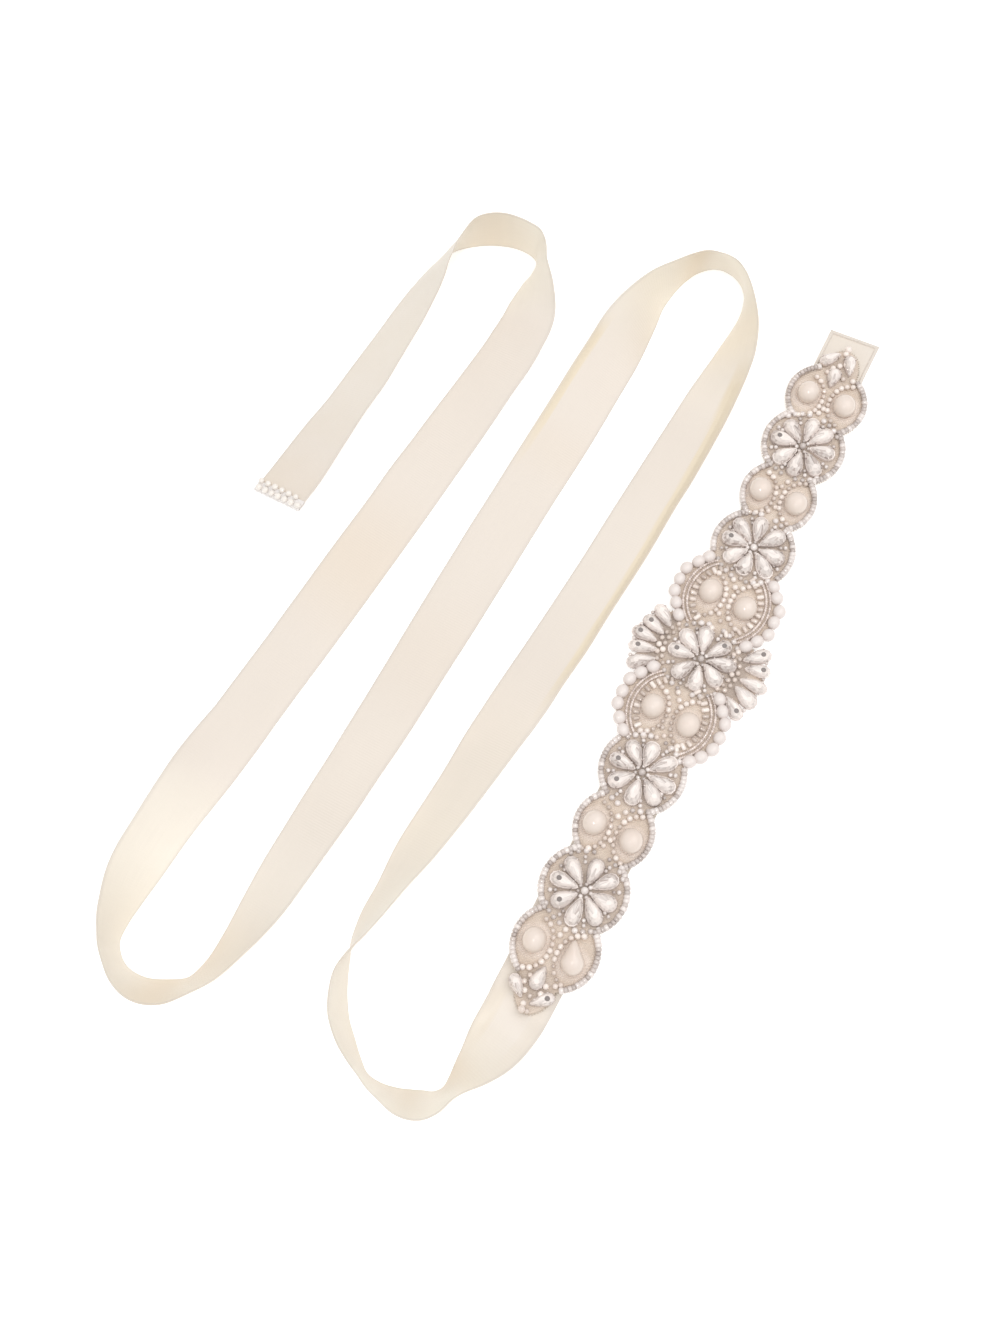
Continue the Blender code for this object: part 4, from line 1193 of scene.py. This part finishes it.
def make_tab_hem():
    """The tab's edges turned over once, in three strips that meet at mitred corners."""
    # how far in from the edge, how high, and how much the hem puckers there
    profile = ((0.0, 0.17, 0), (0.0, 0.77, 0), (0.25, 1.04, 0), (HEM_WIDTH - 0.35, 1.02, 0.05),
               (HEM_WIDTH - 0.05, 0.84, 0.05), (HEM_WIDTH, 0.44, 0))
    lines = [hem_path(inset, height) for inset, height, _ in profile]
    rings = [[spot + Vector((0, 0, pucker * math.sin(i * 1.3)))
              for spot, (_, _, pucker) in zip(ring, profile)]
             for i, ring in enumerate(zip(*lines))]
    return ring_object("tab_hem", [rings], hem_material(), sharp_angle=60)


def make_tab_stitches(finish):
    """One row of small stitches along the hem's inner fold."""
    return threaded("tab_stitches", [hem_path(HEM_WIDTH - 0.45, 1.02)], HEM_STITCH,
                    HEM_STITCH_PITCH, finish, seed=5)


# ---------------------------------------------------------------- applique's ground

def spaced_by_cosine(low, high, count):
    """Values from low to high, closer together near both ends."""
    middle, half = (low + high) / 2, (high - low) / 2
    return [middle - half * math.cos(math.pi * i / (count - 1)) for i in range(count)]


def ground_height(u, v, reach):
    """The ground's top: puckered by the stitches, and lower at its edge."""
    near_edge = smooth_step((reach - abs(v)) / EDGE_WIDTH)
    waves = math.sin(u * 0.83 + 0.7 * math.sin(v * 0.6)) * math.sin(v * 0.71 + u * 0.13)
    return GROUND_TOP - EDGE_DROP * (1 - near_edge) + PUCKER * waves * near_edge - 0.05


def within(away, reach, fade):
    """1 within a reach, and fading to 0 towards its end."""
    return smooth_step((reach - away) / fade)


def under_stones(u, v):
    """How dark the ground's painted shade is, from 0 to 1: between a flower's stones, round the
    finials, and more so at the roots of the fans."""
    away = min(math.hypot(u - flower.u, v - flower.v) for flower in FLOWERS)
    finial = math.hypot(abs(u) - FINIAL_MIDDLE[0], v - FINIAL_MIDDLE[1])
    fan = within(abs(v), 22, 3) * within(-abs(v), -13.5, 2) * within(abs(u + 1), 14.5, 3)
    return max(0.6 * within(away, 15.8, 2.8), 0.5 * within(finial, 8.5, 4), fan)


def by_pearls(u, v):
    """How much paler the ground is, from 0 to 1, where the large pearls throw light on it."""
    return within(min(math.hypot(u - pearl.u, v - pearl.v) for pearl in PEARLS), 8.2, 2.2)


def ground_reach(u):
    """How far the ground itself reaches to each side, under the beads that hang over it."""
    return max(half_width(u, EDGE_HANG), 0.25)


def make_ground():
    """The lobed piece of stiffened net that everything is sewn to."""
    tip = LOBES[-1].u + LOBES[-1].half_u - EDGE_HANG - 0.15
    steps = 300
    stations = [-tip + 2 * tip * i / steps for i in range(steps + 1)]
    stations = sorted(set(stations) | {-tip + 0.3, -tip + 0.6, tip - 0.6, tip - 0.3})
    across = spaced_by_cosine(-1, 1, 30)
    rings = []
    for u in stations:
        reach = ground_reach(u)
        top = [placed(u, reach * c, ground_height(u, reach * c, reach)) for c in across]
        low = [placed(u, reach * c, GROUND_BOTTOM) for c in reversed(across)]
        rings.append(top + low)
    obj = ring_object("applique_ground", [rings], ground_material(), sharp_angle=60)
    for name, value in (("under_stones", under_stones), ("by_pearls", by_pearls)):
        mark(obj, name, [value(u, ground_reach(u) * c)
                         for u in stations for c in across + across[::-1]])
    return obj


def outline_path(inset, low, high, end, side, height, step=0.8):
    """Along the ground's edge, an inset in from it, from one u to another."""
    count = max(3, int((high - low) / step))
    along = [low + (high - low) * i / count for i in range(count + 1)]
    return [placed(end * u, side * half_width(u, inset), height) for u in along]


def make_edge_stitches(finish):
    """Close stitches over the ground's cut edge."""
    paths = [outline_path(EDGE_HANG + 0.1, 0.0, 158.8, end, side, 1.45, 0.5)
             for end, side in QUARTERS]
    return threaded("edge_stitches", paths, EDGE_STITCH, EDGE_STITCH_PITCH, finish, seed=27)


# ---------------------------------------------------------------- stones

def middle_of(outline):
    """The mean of an outline's points."""
    return [sum(values) / len(outline) for values in zip(*outline)]


PEAR_NARROW = 0.34  # how wide a drop is at its point's side, of its round end
PEAR_WIDEST = 0.735  # the most that this makes of its half width


def pear_outline(length, width, sides=14):
    """A drop along +u, with its point at 0 and its round end at its full length."""
    points = []
    for i in range(sides):
        angle = 2 * math.pi * i / sides
        along = (1 - math.cos(angle)) / 2
        swell = math.sin(angle) * (PEAR_NARROW + (1 - PEAR_NARROW) * along)
        points.append((length * along, width / 2 * swell / PEAR_WIDEST))
    return points


# The layers of a stone's cut, from its foot to its culet, which shows through the table.
# size is a share of the outline, and rise is one of the height. A turned layer has its corners
# over the middles of the sides. The facets below a layer have painted reflections, in tones from
# dull to bright.
Layer = namedtuple("Layer", "size rise turned dull bright")
CUT = table(
    Layer,
    (0.72, 0.00, False, 0.25, 0.25), (0.99, 0.34, False, 0.20, 0.45),
    (1.00, 0.44, False, 0.50, 0.75), (0.83, 0.76, True, 0.35, 0.95),
    (0.55, 1.00, False, 0.50, 1.00),
)
CULET = Layer(0, 1.01, False, 0.45, 0.95)
CULET_PLACE = 0.42  # how far out it shows, from the outline's middle
SPOT_RADIUS = 1.05
# Painted reflection tones of the culet: dark in a spotted stone, bright in the others
SPOT_TONE, CULET_TONE = 0.0, 0.93


def stone(outline, base, height, number, spotted):
    """A cut stone: its points, its facets and the painted reflection tone of each facet. A spotted
    one has a dark painted reflection in its culet."""
    count = len(outline)
    (cu, cv), tip = middle_of(outline), outline[0]
    points, faces, tones = [], [], []
    for layer in CUT:
        for i, (u, v) in enumerate(outline):
            if layer.turned:
                next_u, next_v = outline[(i + 1) % count]
                u, v = (u + next_u) / 2, (v + next_v) / 2
            points.append((cu + (u - cu) * layer.size, cv + (v - cv) * layer.size,
                           base + height * layer.rise))
    # the culet shows as a small round in the outer part of the table
    su, sv = cu + (cu - tip[0]) * CULET_PLACE, cv + (cv - tip[1]) * CULET_PLACE
    for u, v in outline:
        away = math.hypot(u - su, v - sv)
        points.append((su + (u - su) / away * SPOT_RADIUS, sv + (v - sv) / away * SPOT_RADIUS,
                       base + height * CULET.rise))
    # Painted light: each stone is darker by a level, and its facets are lighter on the side that
    # lit points to
    level, lit = 0.30 * uneven(number, 91), 2 * math.pi * uneven(number, 92)
    for n, (below, layer) in enumerate(zip(CUT, CUT[1:] + (CULET,))):
        low, high = n * count, (n + 1) * count
        for i in range(count):
            j = (i + 1) % count
            if layer.turned:
                facets = [(low + i, low + j, high + i), (low + j, high + j, high + i)]
            elif below.turned:
                facets = [(low + i, high + j, high + i), (low + i, low + j, high + j)]
            else:
                facets = [(low + i, low + j, high + j, high + i)]
            faces += facets
            side = 0.18 * math.cos(2 * math.pi * i / count - lit) - level
            tones += [min(1.0, max(0.0, side * layer.rise + layer.dull
                                   + (layer.bright - layer.dull) * uneven(number, i, n, k)))
                      for k in range(len(facets))]
    top = len(CUT) * count
    faces.append(tuple(top + i for i in range(count)))
    tones.append(SPOT_TONE if spotted else CULET_TONE - level)
    faces.append(tuple(reversed(range(count))))
    tones.append(CUT[0].dull)
    return points, faces, tones


def stones_object(name, stones, finish):
    """One object of many stones, each given in the applique's frame."""
    points, faces, tones = [], [], []
    for stone_points, stone_faces, stone_tones in stones:
        first = len(points)
        points += [placed(*p) for p in stone_points]
        faces += [tuple(first + i for i in face) for face in stone_faces]
        tones += stone_tones
    obj = linked(name, plain_mesh(name, in_metres(points), [], faces))
    obj.data.materials.append(finish)
    mark(obj, "facet", tones, "FACE")
    face_outwards(obj)
    return obj


Drop = namedtuple("Drop", "outline height spotted")


def flower_drops():
    """Eight drops round the middle of each flower, none quite like the next."""
    height = applique_settings().stone_height / MM
    drops = []
    for n, flower in enumerate(FLOWERS):
        for i in range(8):
            angle = 45 * i + flower.turn + around(0, 10, n, i, 1)
            length, width = around(10.9, 1.2, n, i, 2), around(6.1, 1.0, n, i, 3)
            inner = around(3.1, 0.5, n, i, 4)
            outline = [(u + inner, v) for u, v in pear_outline(length, width)]
            drops.append(Drop(turned(outline, angle, (flower.u, flower.v)), height,
                              (n, i) in SPOTTED))
    return drops


def placed_drops(sewn, height):
    return [Drop(turned(pear_outline(d.length, d.width), d.angle, (d.u, d.v)), height, d.spotted)
            for d in sewn]


def scaled_outline(outline, size):
    cu, cv = middle_of(outline)
    return [(cu + (u - cu) * size, cv + (v - cv) * size) for u, v in outline]


CUP_SHARE = 0.48  # how high a setting's cup is, of its stone's height
CLAW_WIDTH, CLAW_THICKNESS = 0.72, 0.52


def make_settings(drops, finish):
    """A thin metal cup round each stone, with four claws bent over its girdle."""
    ring_sets, tones = [], []
    for n, drop in enumerate(drops):
        base, height = GROUND_TOP - 0.15, drop.height * CUP_SHARE
        first = len(ring_sets)
        ring_sets.append([
            [placed(u, v, base + height * rise) for u, v in scaled_outline(drop.outline, size)]
            for size, rise in ((0.98, 0.0), (1.11, 0.1), (1.12, 0.6), (1.07, 1.0), (1.01, 1.0))
        ])
        count = len(drop.outline)
        middle = Vector(middle_of(drop.outline))
        for i in (count // 6, count // 2 - 2, count // 2 + 2, count - count // 6):
            spot = Vector(drop.outline[i])
            out = (spot - middle).normalized()
            side = Vector((-out.y, out.x))
            rings = []
            for reach, rise, size in ((0.35, 0.1, 1.0), (0.33, 1.0, 1.0), (0.10, 1.4, 0.8),
                                      (-0.40, 1.6, 0.5)):
                ring = []
                for across, up in ((-1, -1), (1, -1), (1, 1), (-1, 1)):
                    p = spot + out * reach + side * (across * CLAW_WIDTH / 2 * size)
                    ring.append(placed(p.x, p.y, base + height * rise
                                       + up * CLAW_THICKNESS / 2 * size))
                rings.append(ring)
            ring_sets.append(rings)
        tones += [uneven(n, k) for k in range(first, len(ring_sets))
                  for ring in ring_sets[k] for _ in ring]
    obj = ring_object("stone_settings", ring_sets, finish, sharp_angle=40)
    mark(obj, "tone", tones)
    return obj


# ---------------------------------------------------------------- pearls

PEARL_FOOT = 0.62  # how far under a pearl's middle its flat foot is, of its half height


def pearl_rings(u, v, half, base, point=0.0, angle=0.0, sides=28, levels=14):
    """A pearl that sits on its flattened underside. point draws one end out to a tip."""
    rings = []
    low, top = math.asin(-PEARL_FOOT), math.radians(88.5)
    for i in range(levels + 1):
        tilt = low + (top - low) * i / levels
        size, lift = math.cos(tilt), math.sin(tilt)
        loop = []
        for j in range(sides):
            turn = 2 * math.pi * j / sides
            along, aside = math.cos(turn), math.sin(turn)
            drawn = point * max(0.0, along) ** 3
            pinch = 1 - 0.55 * point * max(0.0, along)
            loop.append((half[0] * size * (along + drawn), half[1] * size * aside * pinch))
        z = base + half[2] * (lift + PEARL_FOOT)
        rings.append([placed(p, q, z) for p, q in turned(loop, angle, (u, v))])
    return rings


def with_crowns(obj, ring_sets):
    """Marks how near each point is to the top of its pearl, for the painted highlight on top and
    the painted shade down the sides.
    """
    mark(obj, "crown", [smooth_step((i / (len(rings) - 1) - 0.40) / 0.45)
                        for rings in ring_sets for i, ring in enumerate(rings) for _ in ring])
    return obj


def make_pearls(finish):
    """Twelve large pearls in pairs. The one at the lower end is a drop."""
    ring_sets = []
    for n, pearl in enumerate(PEARLS):
        half = (around(5.2, 0.3, n, 1), around(4.8, 0.2, n, 2), 4.3)
        ring_sets.append(pearl_rings(pearl.u, pearl.v, half, GROUND_TOP - 0.05,
                                     pearl.point, pearl.angle))
    return with_crowns(ring_object("large_pearls", ring_sets, finish), ring_sets)


def make_scallops(finish):
    """Oval beads along the scalloped edges beside each fan."""
    ring_sets = []
    for end, side in QUARTERS:
        n = (end + 1) // 2
        for i, (u, v) in enumerate(SCALLOP):
            u, v = end * around(u, 0.5, n, side, i, 1), side * around(v, 0.6, n, side, i, 2)
            lie = math.degrees(math.atan2(v, u - end * LOBES[1].u))
            half = (2.85 + 0.25 * uneven(n, side, i, 3), 2.5 + 0.2 * uneven(n, side, i, 4), 2.2)
            ring_sets.append(pearl_rings(u, v, half, GROUND_TOP - 0.2, angle=lie + 90,
                                         sides=18, levels=9))
    return with_crowns(ring_object("scallop_pearls", ring_sets, finish), ring_sets)


# ---------------------------------------------------------------- rows of beads

def arc_path(centre, reach, first, last, height):
    """Part of an oval, from one angle to another in degrees."""
    count = max(6, int(abs(last - first) / 5))
    angles = [math.radians(first + (last - first) * i / count) for i in range(count + 1)]
    return [placed(centre[0] + reach[0] * math.cos(angle),
                   centre[1] + reach[1] * math.sin(angle), height) for angle in angles]


def border_paths(inset, height):
    """Along the lobes' edges, from the large modules to the finials."""
    return [outline_path(inset, 46.0, 145.5, end, side, height) for end, side in QUARTERS]


def module_paths(reach_u, reach_v, height, first=38, last=142):
    """Arcs that follow both sides of the two large modules."""
    return [arc_path((end * 27.3, 0), (reach_u, side * reach_v), first, last, height)
            for end, side in QUARTERS]


def pair_paths(height):
    """An open oval of beads round the inner side of each large pearl. The two of a pair lie
    close together between the pearls."""
    paths = []
    for pearl in PEARLS:
        side = math.copysign(1, pearl.v)
        centre = (pearl.u - side * 0.8, side * 9.4)
        paths.append(arc_path(centre, (10.4, side * 8.0), 190, 350, height))
    return paths


def neck_paths(height):
    """Short arcs round each flower where the outline is narrow."""
    return [arc_path((flower.u, flower.v), (15.8, 15.8), first, first + 34, height)
            for flower in FLOWERS for first in (12, 134, 192, 314)]


def filling_places():
    """Between the rows of the two large modules and of the pairs."""
    return [(end * (u if end > 0 else u - 0.6), end * v) for end in (-1, 1)
            for u, v in FILLING] + list(FINIAL_SEEDS)


def gap_places():
    """Between the stones of each flower, near their round ends."""
    return [place for flower in FLOWERS for i in range(8)
            for place in turned(((13.4, 0), (11.4, 0)), 45 * i + 22.5 + flower.turn,
                                (flower.u, flower.v))]


def rosette_paths(radius, height):
    return [arc_path((flower.u, flower.v), (radius, radius), 10, 325, height)
            for flower in FLOWERS]


def point_paths(places, height):
    """A path as short as one bead at each place."""
    return [[placed(u - 0.02, v, height), placed(u + 0.02, v, height)] for u, v in places]


def make_bead_rows(silver, champagne, cord):
    """Every threaded row on the applique, as named objects."""
    sizes = applique_settings()
    border, seed = sizes.border_pitch / MM, sizes.seed_pitch / MM
    middles = [(flower.u, flower.v) for flower in FLOWERS]
    rows = (
        ("border_beads", border_paths(1.35, 3.5), BORDER_BEAD, border, silver),
        ("outline_cords", module_paths(19.0, 17.9, 3.2) + module_paths(17.4, 16.2, 3.2),
         CORD_BEAD, 1.0, cord),
        ("module_bugles", module_paths(14.6, 13.9, 3.3, 24, 156), BUGLE_BEAD, 2.75, champagne),
        ("pair_rows", pair_paths(3.4), SEED_BEAD, seed, champagne),
        ("neck_beads", neck_paths(3.3), SEED_BEAD, seed, silver),
        ("rosettes", rosette_paths(2.6, 3.6), SMALL_BEAD, 2.05, silver),
        ("gap_beads", point_paths(gap_places(), 3.2), SMALL_BEAD, 1.0, silver),
        ("filling_beads", point_paths(filling_places(), 3.3), SEED_BEAD, 1.0, champagne),
        ("fan_roots", [arc_path((-0.8, side * 0.5), (reach, side * (reach + 0.6)), first,
                                180 - first, 3.3)
                       for side in (-1, 1) for reach, first in ((13.9, 54), (16.0, 51))],
         SEED_BEAD, 2.9, champagne),
        ("fan_tips", point_paths(FAN_TIPS, 3.2), SMALL_BEAD, 1.0, silver),
        ("flower_middles", point_paths(middles, 4.1), TIP_BEAD, 1.0, silver),
        ("finial_tips", point_paths(FINIAL_TIPS, 3.9), TIP_BEAD, 1.0, champagne),
    )
    return [threaded(*row, seed=n) for n, row in enumerate(rows)]


# ---------------------------------------------------------------- stage

FLOOR_HALF = 4  # in metres
FLOOR_GLOW = 0.32
LAMP_COLOUR = (1.0, 0.985, 0.965)
WINDOW_PLACE, WINDOW_SIZE = (0.60, 0.15, 1.20), 1.1
TOP_PLACE, TOP_SIZE = (-0.10, -0.30, 1.20), 0.15
CAMERA_PLACE, CAMERA_AIM = (-0.0081, -0.1946, 0.5641), (-0.0081, -0.0113, 0.0)


def make_stage():
    """A plain pale floor, soft studio light and the camera."""
    sizes = stage_settings()
    scene = bpy.context.scene
    corners = [(x * FLOOR_HALF, y * FLOOR_HALF, 0) for x, y in
               ((-1, -1), (1, -1), (1, 1), (-1, 1))]
    floor = linked("floor", plain_mesh("floor", corners, [], [(0, 1, 2, 3)]))
    make = MaterialMaker("floor_paper")
    colour = tuple(sizes.floor_colour)
    tone = make.tone(make.object_place(), 4, 0.2, colour, shade(colour, 0.99))
    make.link(tone["Colour"], "Base Color")
    make.set(Roughness=0.9, Specular_IOR_Level=0.1, Emission_Color=(1, 1, 1, 1),
             Emission_Strength=FLOOR_GLOW)
    floor.data.materials.append(make.material)

    world = bpy.data.worlds.new("studio")
    scene.world = world
    world.use_nodes = True
    tree = world.node_tree
    place = add_node(tree, "ShaderNodeTexCoord").outputs["Generated"]
    split = add_node(tree, "ShaderNodeSeparateXYZ", {0: place})
    ramp = add_node(tree, "ShaderNodeValToRGB", {"Fac": split.outputs["Z"]})
    low, high = ramp.color_ramp.elements
    low.position, low.color = 0.0, (0.55, 0.54, 0.53, 1)
    high.position, high.color = 0.75, (1.0, 0.995, 0.985, 1)
    background = tree.nodes["Background"].inputs
    background["Strength"].default_value = sizes.sky_light
    tree.links.new(ramp.outputs["Color"], background["Color"])

    lamps = (("window", WINDOW_PLACE, WINDOW_SIZE, sizes.window_light),
             ("top", TOP_PLACE, TOP_SIZE, sizes.top_light))
    for name, place, size, power in lamps:
        light = bpy.data.lights.new(name, "AREA")
        light.shape = "SQUARE"
        light.size = size
        light.energy = power
        light.color = LAMP_COLOUR
        lamp = linked(name, light)
        lamp.location = place
        lamp.rotation_euler = (-Vector(place)).to_track_quat("-Z", "Y").to_euler()

    camera_data = bpy.data.cameras.new("camera")
    camera_data.sensor_width = 36
    camera_data.lens = sizes.lens
    camera = linked("camera", camera_data)
    camera.location = CAMERA_PLACE
    aim = Vector(CAMERA_AIM) - camera.location
    camera.rotation_euler = aim.to_track_quat("-Z", "Y").to_euler()
    camera_data.clip_start, camera_data.clip_end = 0.01, 20
    scene.camera = camera
    scene.view_settings.view_transform = "Standard"
    scene.view_settings.look = "None"


# ---------------------------------------------------------------- operators

class SASH_OT_ribbon(bpy.types.Operator):
    """The satin ribbon, from its free end through all its turns to the tab"""
    bl_idname = "sash.ribbon"
    bl_label = "Satin ribbon"

    def execute(self, context):
        obj = settle(make_ribbon(), "satin", *nodes_named("ribbon_"))
        hem = settle(make_tab_hem(), "satin")
        thread = thread_material("ivory_thread", (0.78, 0.71, 0.63))
        stitches = settle(make_tab_stitches(thread), "satin")
        return {"FINISHED"}


class SASH_OT_free_end(bpy.types.Operator):
    """The netting that binds the free end, and its two rows of beads"""
    bl_idname = "sash.free_end"
    bl_label = "Free end"

    def execute(self, context):
        settle(make_end_binding(), "net", "free_end_binding")
        finish = pearl_material("pale_pearl", (0.92, 0.87, 0.82), (0.88, 0.83, 0.78), 700)
        settle(make_end_beads(finish), "pearl")
        return {"FINISHED"}


class SASH_OT_ground(bpy.types.Operator):
    """The applique's ground of stiffened net, with its stitched edge"""
    bl_idname = "sash.ground"
    bl_label = "Applique ground"

    def execute(self, context):
        obj = settle(make_ground(), "backing", "applique_backing")
        thread = thread_material("beige_thread", (0.66, 0.57, 0.48))
        stitches = settle(make_edge_stitches(thread), "backing")
        return {"FINISHED"}


class SASH_OT_stones(bpy.types.Operator):
    """The cut stones of the flowers, fans and finials, with their settings"""
    bl_idname = "sash.stones"
    bl_label = "Cut stones"

    def execute(self, context):
        crystal = crystal_material()
        all_drops = []
        for name, drops in (("flower", flower_drops()), ("fan", placed_drops(FAN_DROPS, 3.1)),
                            ("finial", placed_drops(FINIALS, 3.2))):
            stones = [stone(drop.outline, GROUND_TOP + 0.1, drop.height, 100 * len(name) + n,
                            drop.spotted) for n, drop in enumerate(drops)]
            settle(stones_object(name + "_stones", stones, crystal), "crystal",
                   *nodes_named(name + "_"))
            all_drops += drops
        plated = silver_material("plated_settings", (0.52, 0.44, 0.41), (0.74, 0.65, 0.61),
                                 (0.88, 0.80, 0.76), 0.1)
        settle(make_settings(all_drops, plated), "silver")
        return {"FINISHED"}


class SASH_OT_pearls(bpy.types.Operator):
    """The large pearls and the oval beads of the scalloped edges"""
    bl_idname = "sash.pearls"
    bl_label = "Pearls"

    def execute(self, context):
        # The second colour of each is the painted shade down the sides
        ivory = pearl_material("ivory_pearl", tuple(applique_settings().pearl_colour),
                               (0.765, 0.665, 0.59), 180)
        white = pearl_material("white_pearl", (0.80, 0.74, 0.72), (0.74, 0.665, 0.635), 700)
        settle(make_pearls(ivory), "pearl", *nodes_named("pearl_"))
        settle(make_scallops(white), "pearl", *nodes_named("scallop_"))
        return {"FINISHED"}


class SASH_OT_bead_rows(bpy.types.Operator):
    """The border beads and every row of seed beads on the applique"""
    bl_idname = "sash.bead_rows"
    bl_label = "Bead rows"

    def execute(self, context):
        silver = silver_material("silver_beads", (0.50, 0.43, 0.40),
                                 tuple(applique_settings().silver_colour),
                                 (0.84, 0.775, 0.745), 0.1)
        champagne = silver_material("champagne_beads", (0.60, 0.50, 0.44), (0.80, 0.69, 0.62),
                                    (0.92, 0.83, 0.77), 0.05)
        cord = silver_material("outline_cord", (0.66, 0.55, 0.50), (0.78, 0.67, 0.62),
                               (0.86, 0.76, 0.71), 0.03)
        for obj in make_bead_rows(silver, champagne, cord):
            nodes = nodes_named("bead_border_") if obj.name == "border_beads" else []
            settle(obj, "silver", *nodes)
        return {"FINISHED"}


class SASH_OT_stage(bpy.types.Operator):
    """The floor, the lights and the camera"""
    bl_idname = "sash.stage"
    bl_label = "Stage"

    def execute(self, context):
        make_stage()
        return {"FINISHED"}


class SASH_PT_panel(bpy.types.Panel):
    """Sizes, colours and pieces of the sash"""
    bl_idname = "SASH_PT_panel"
    bl_label = "Bridal Sash"
    bl_space_type = "VIEW_3D"
    bl_region_type = "UI"
    bl_category = "Sash"

    def draw(self, context):
        layout = self.layout
        for group, kind in SETTINGS.items():
            box = layout.box()
            for name in kind.__annotations__:
                box.prop(getattr(context.scene, group), name)
        for operator in OPERATORS:
            layout.operator(operator.bl_idname)


OPERATORS = (SASH_OT_ribbon, SASH_OT_free_end, SASH_OT_ground, SASH_OT_stones, SASH_OT_pearls,
             SASH_OT_bead_rows, SASH_OT_stage)
SETTINGS = {"sash_ribbon": SashRibbonSettings, "sash_applique": SashAppliqueSettings,
            "sash_stage": SashStageSettings}
CLASSES = (*SETTINGS.values(), *OPERATORS, SASH_PT_panel)


def register():
    for cls in CLASSES:
        bpy.utils.register_class(cls)
    for name, kind in SETTINGS.items():
        setattr(bpy.types.Scene, name, PointerProperty(type=kind))


def unregister():
    for name in SETTINGS:
        delattr(bpy.types.Scene, name)
    for cls in reversed(CLASSES):
        bpy.utils.unregister_class(cls)


def main():
    register()
    bpy.ops.sash.ribbon()
    bpy.ops.sash.free_end()
    bpy.ops.sash.ground()
    bpy.ops.sash.stones()
    bpy.ops.sash.pearls()
    bpy.ops.sash.bead_rows()
    bpy.ops.sash.stage()
    bpy.context.view_layer.update()


if __name__ == "__main__":
    main()
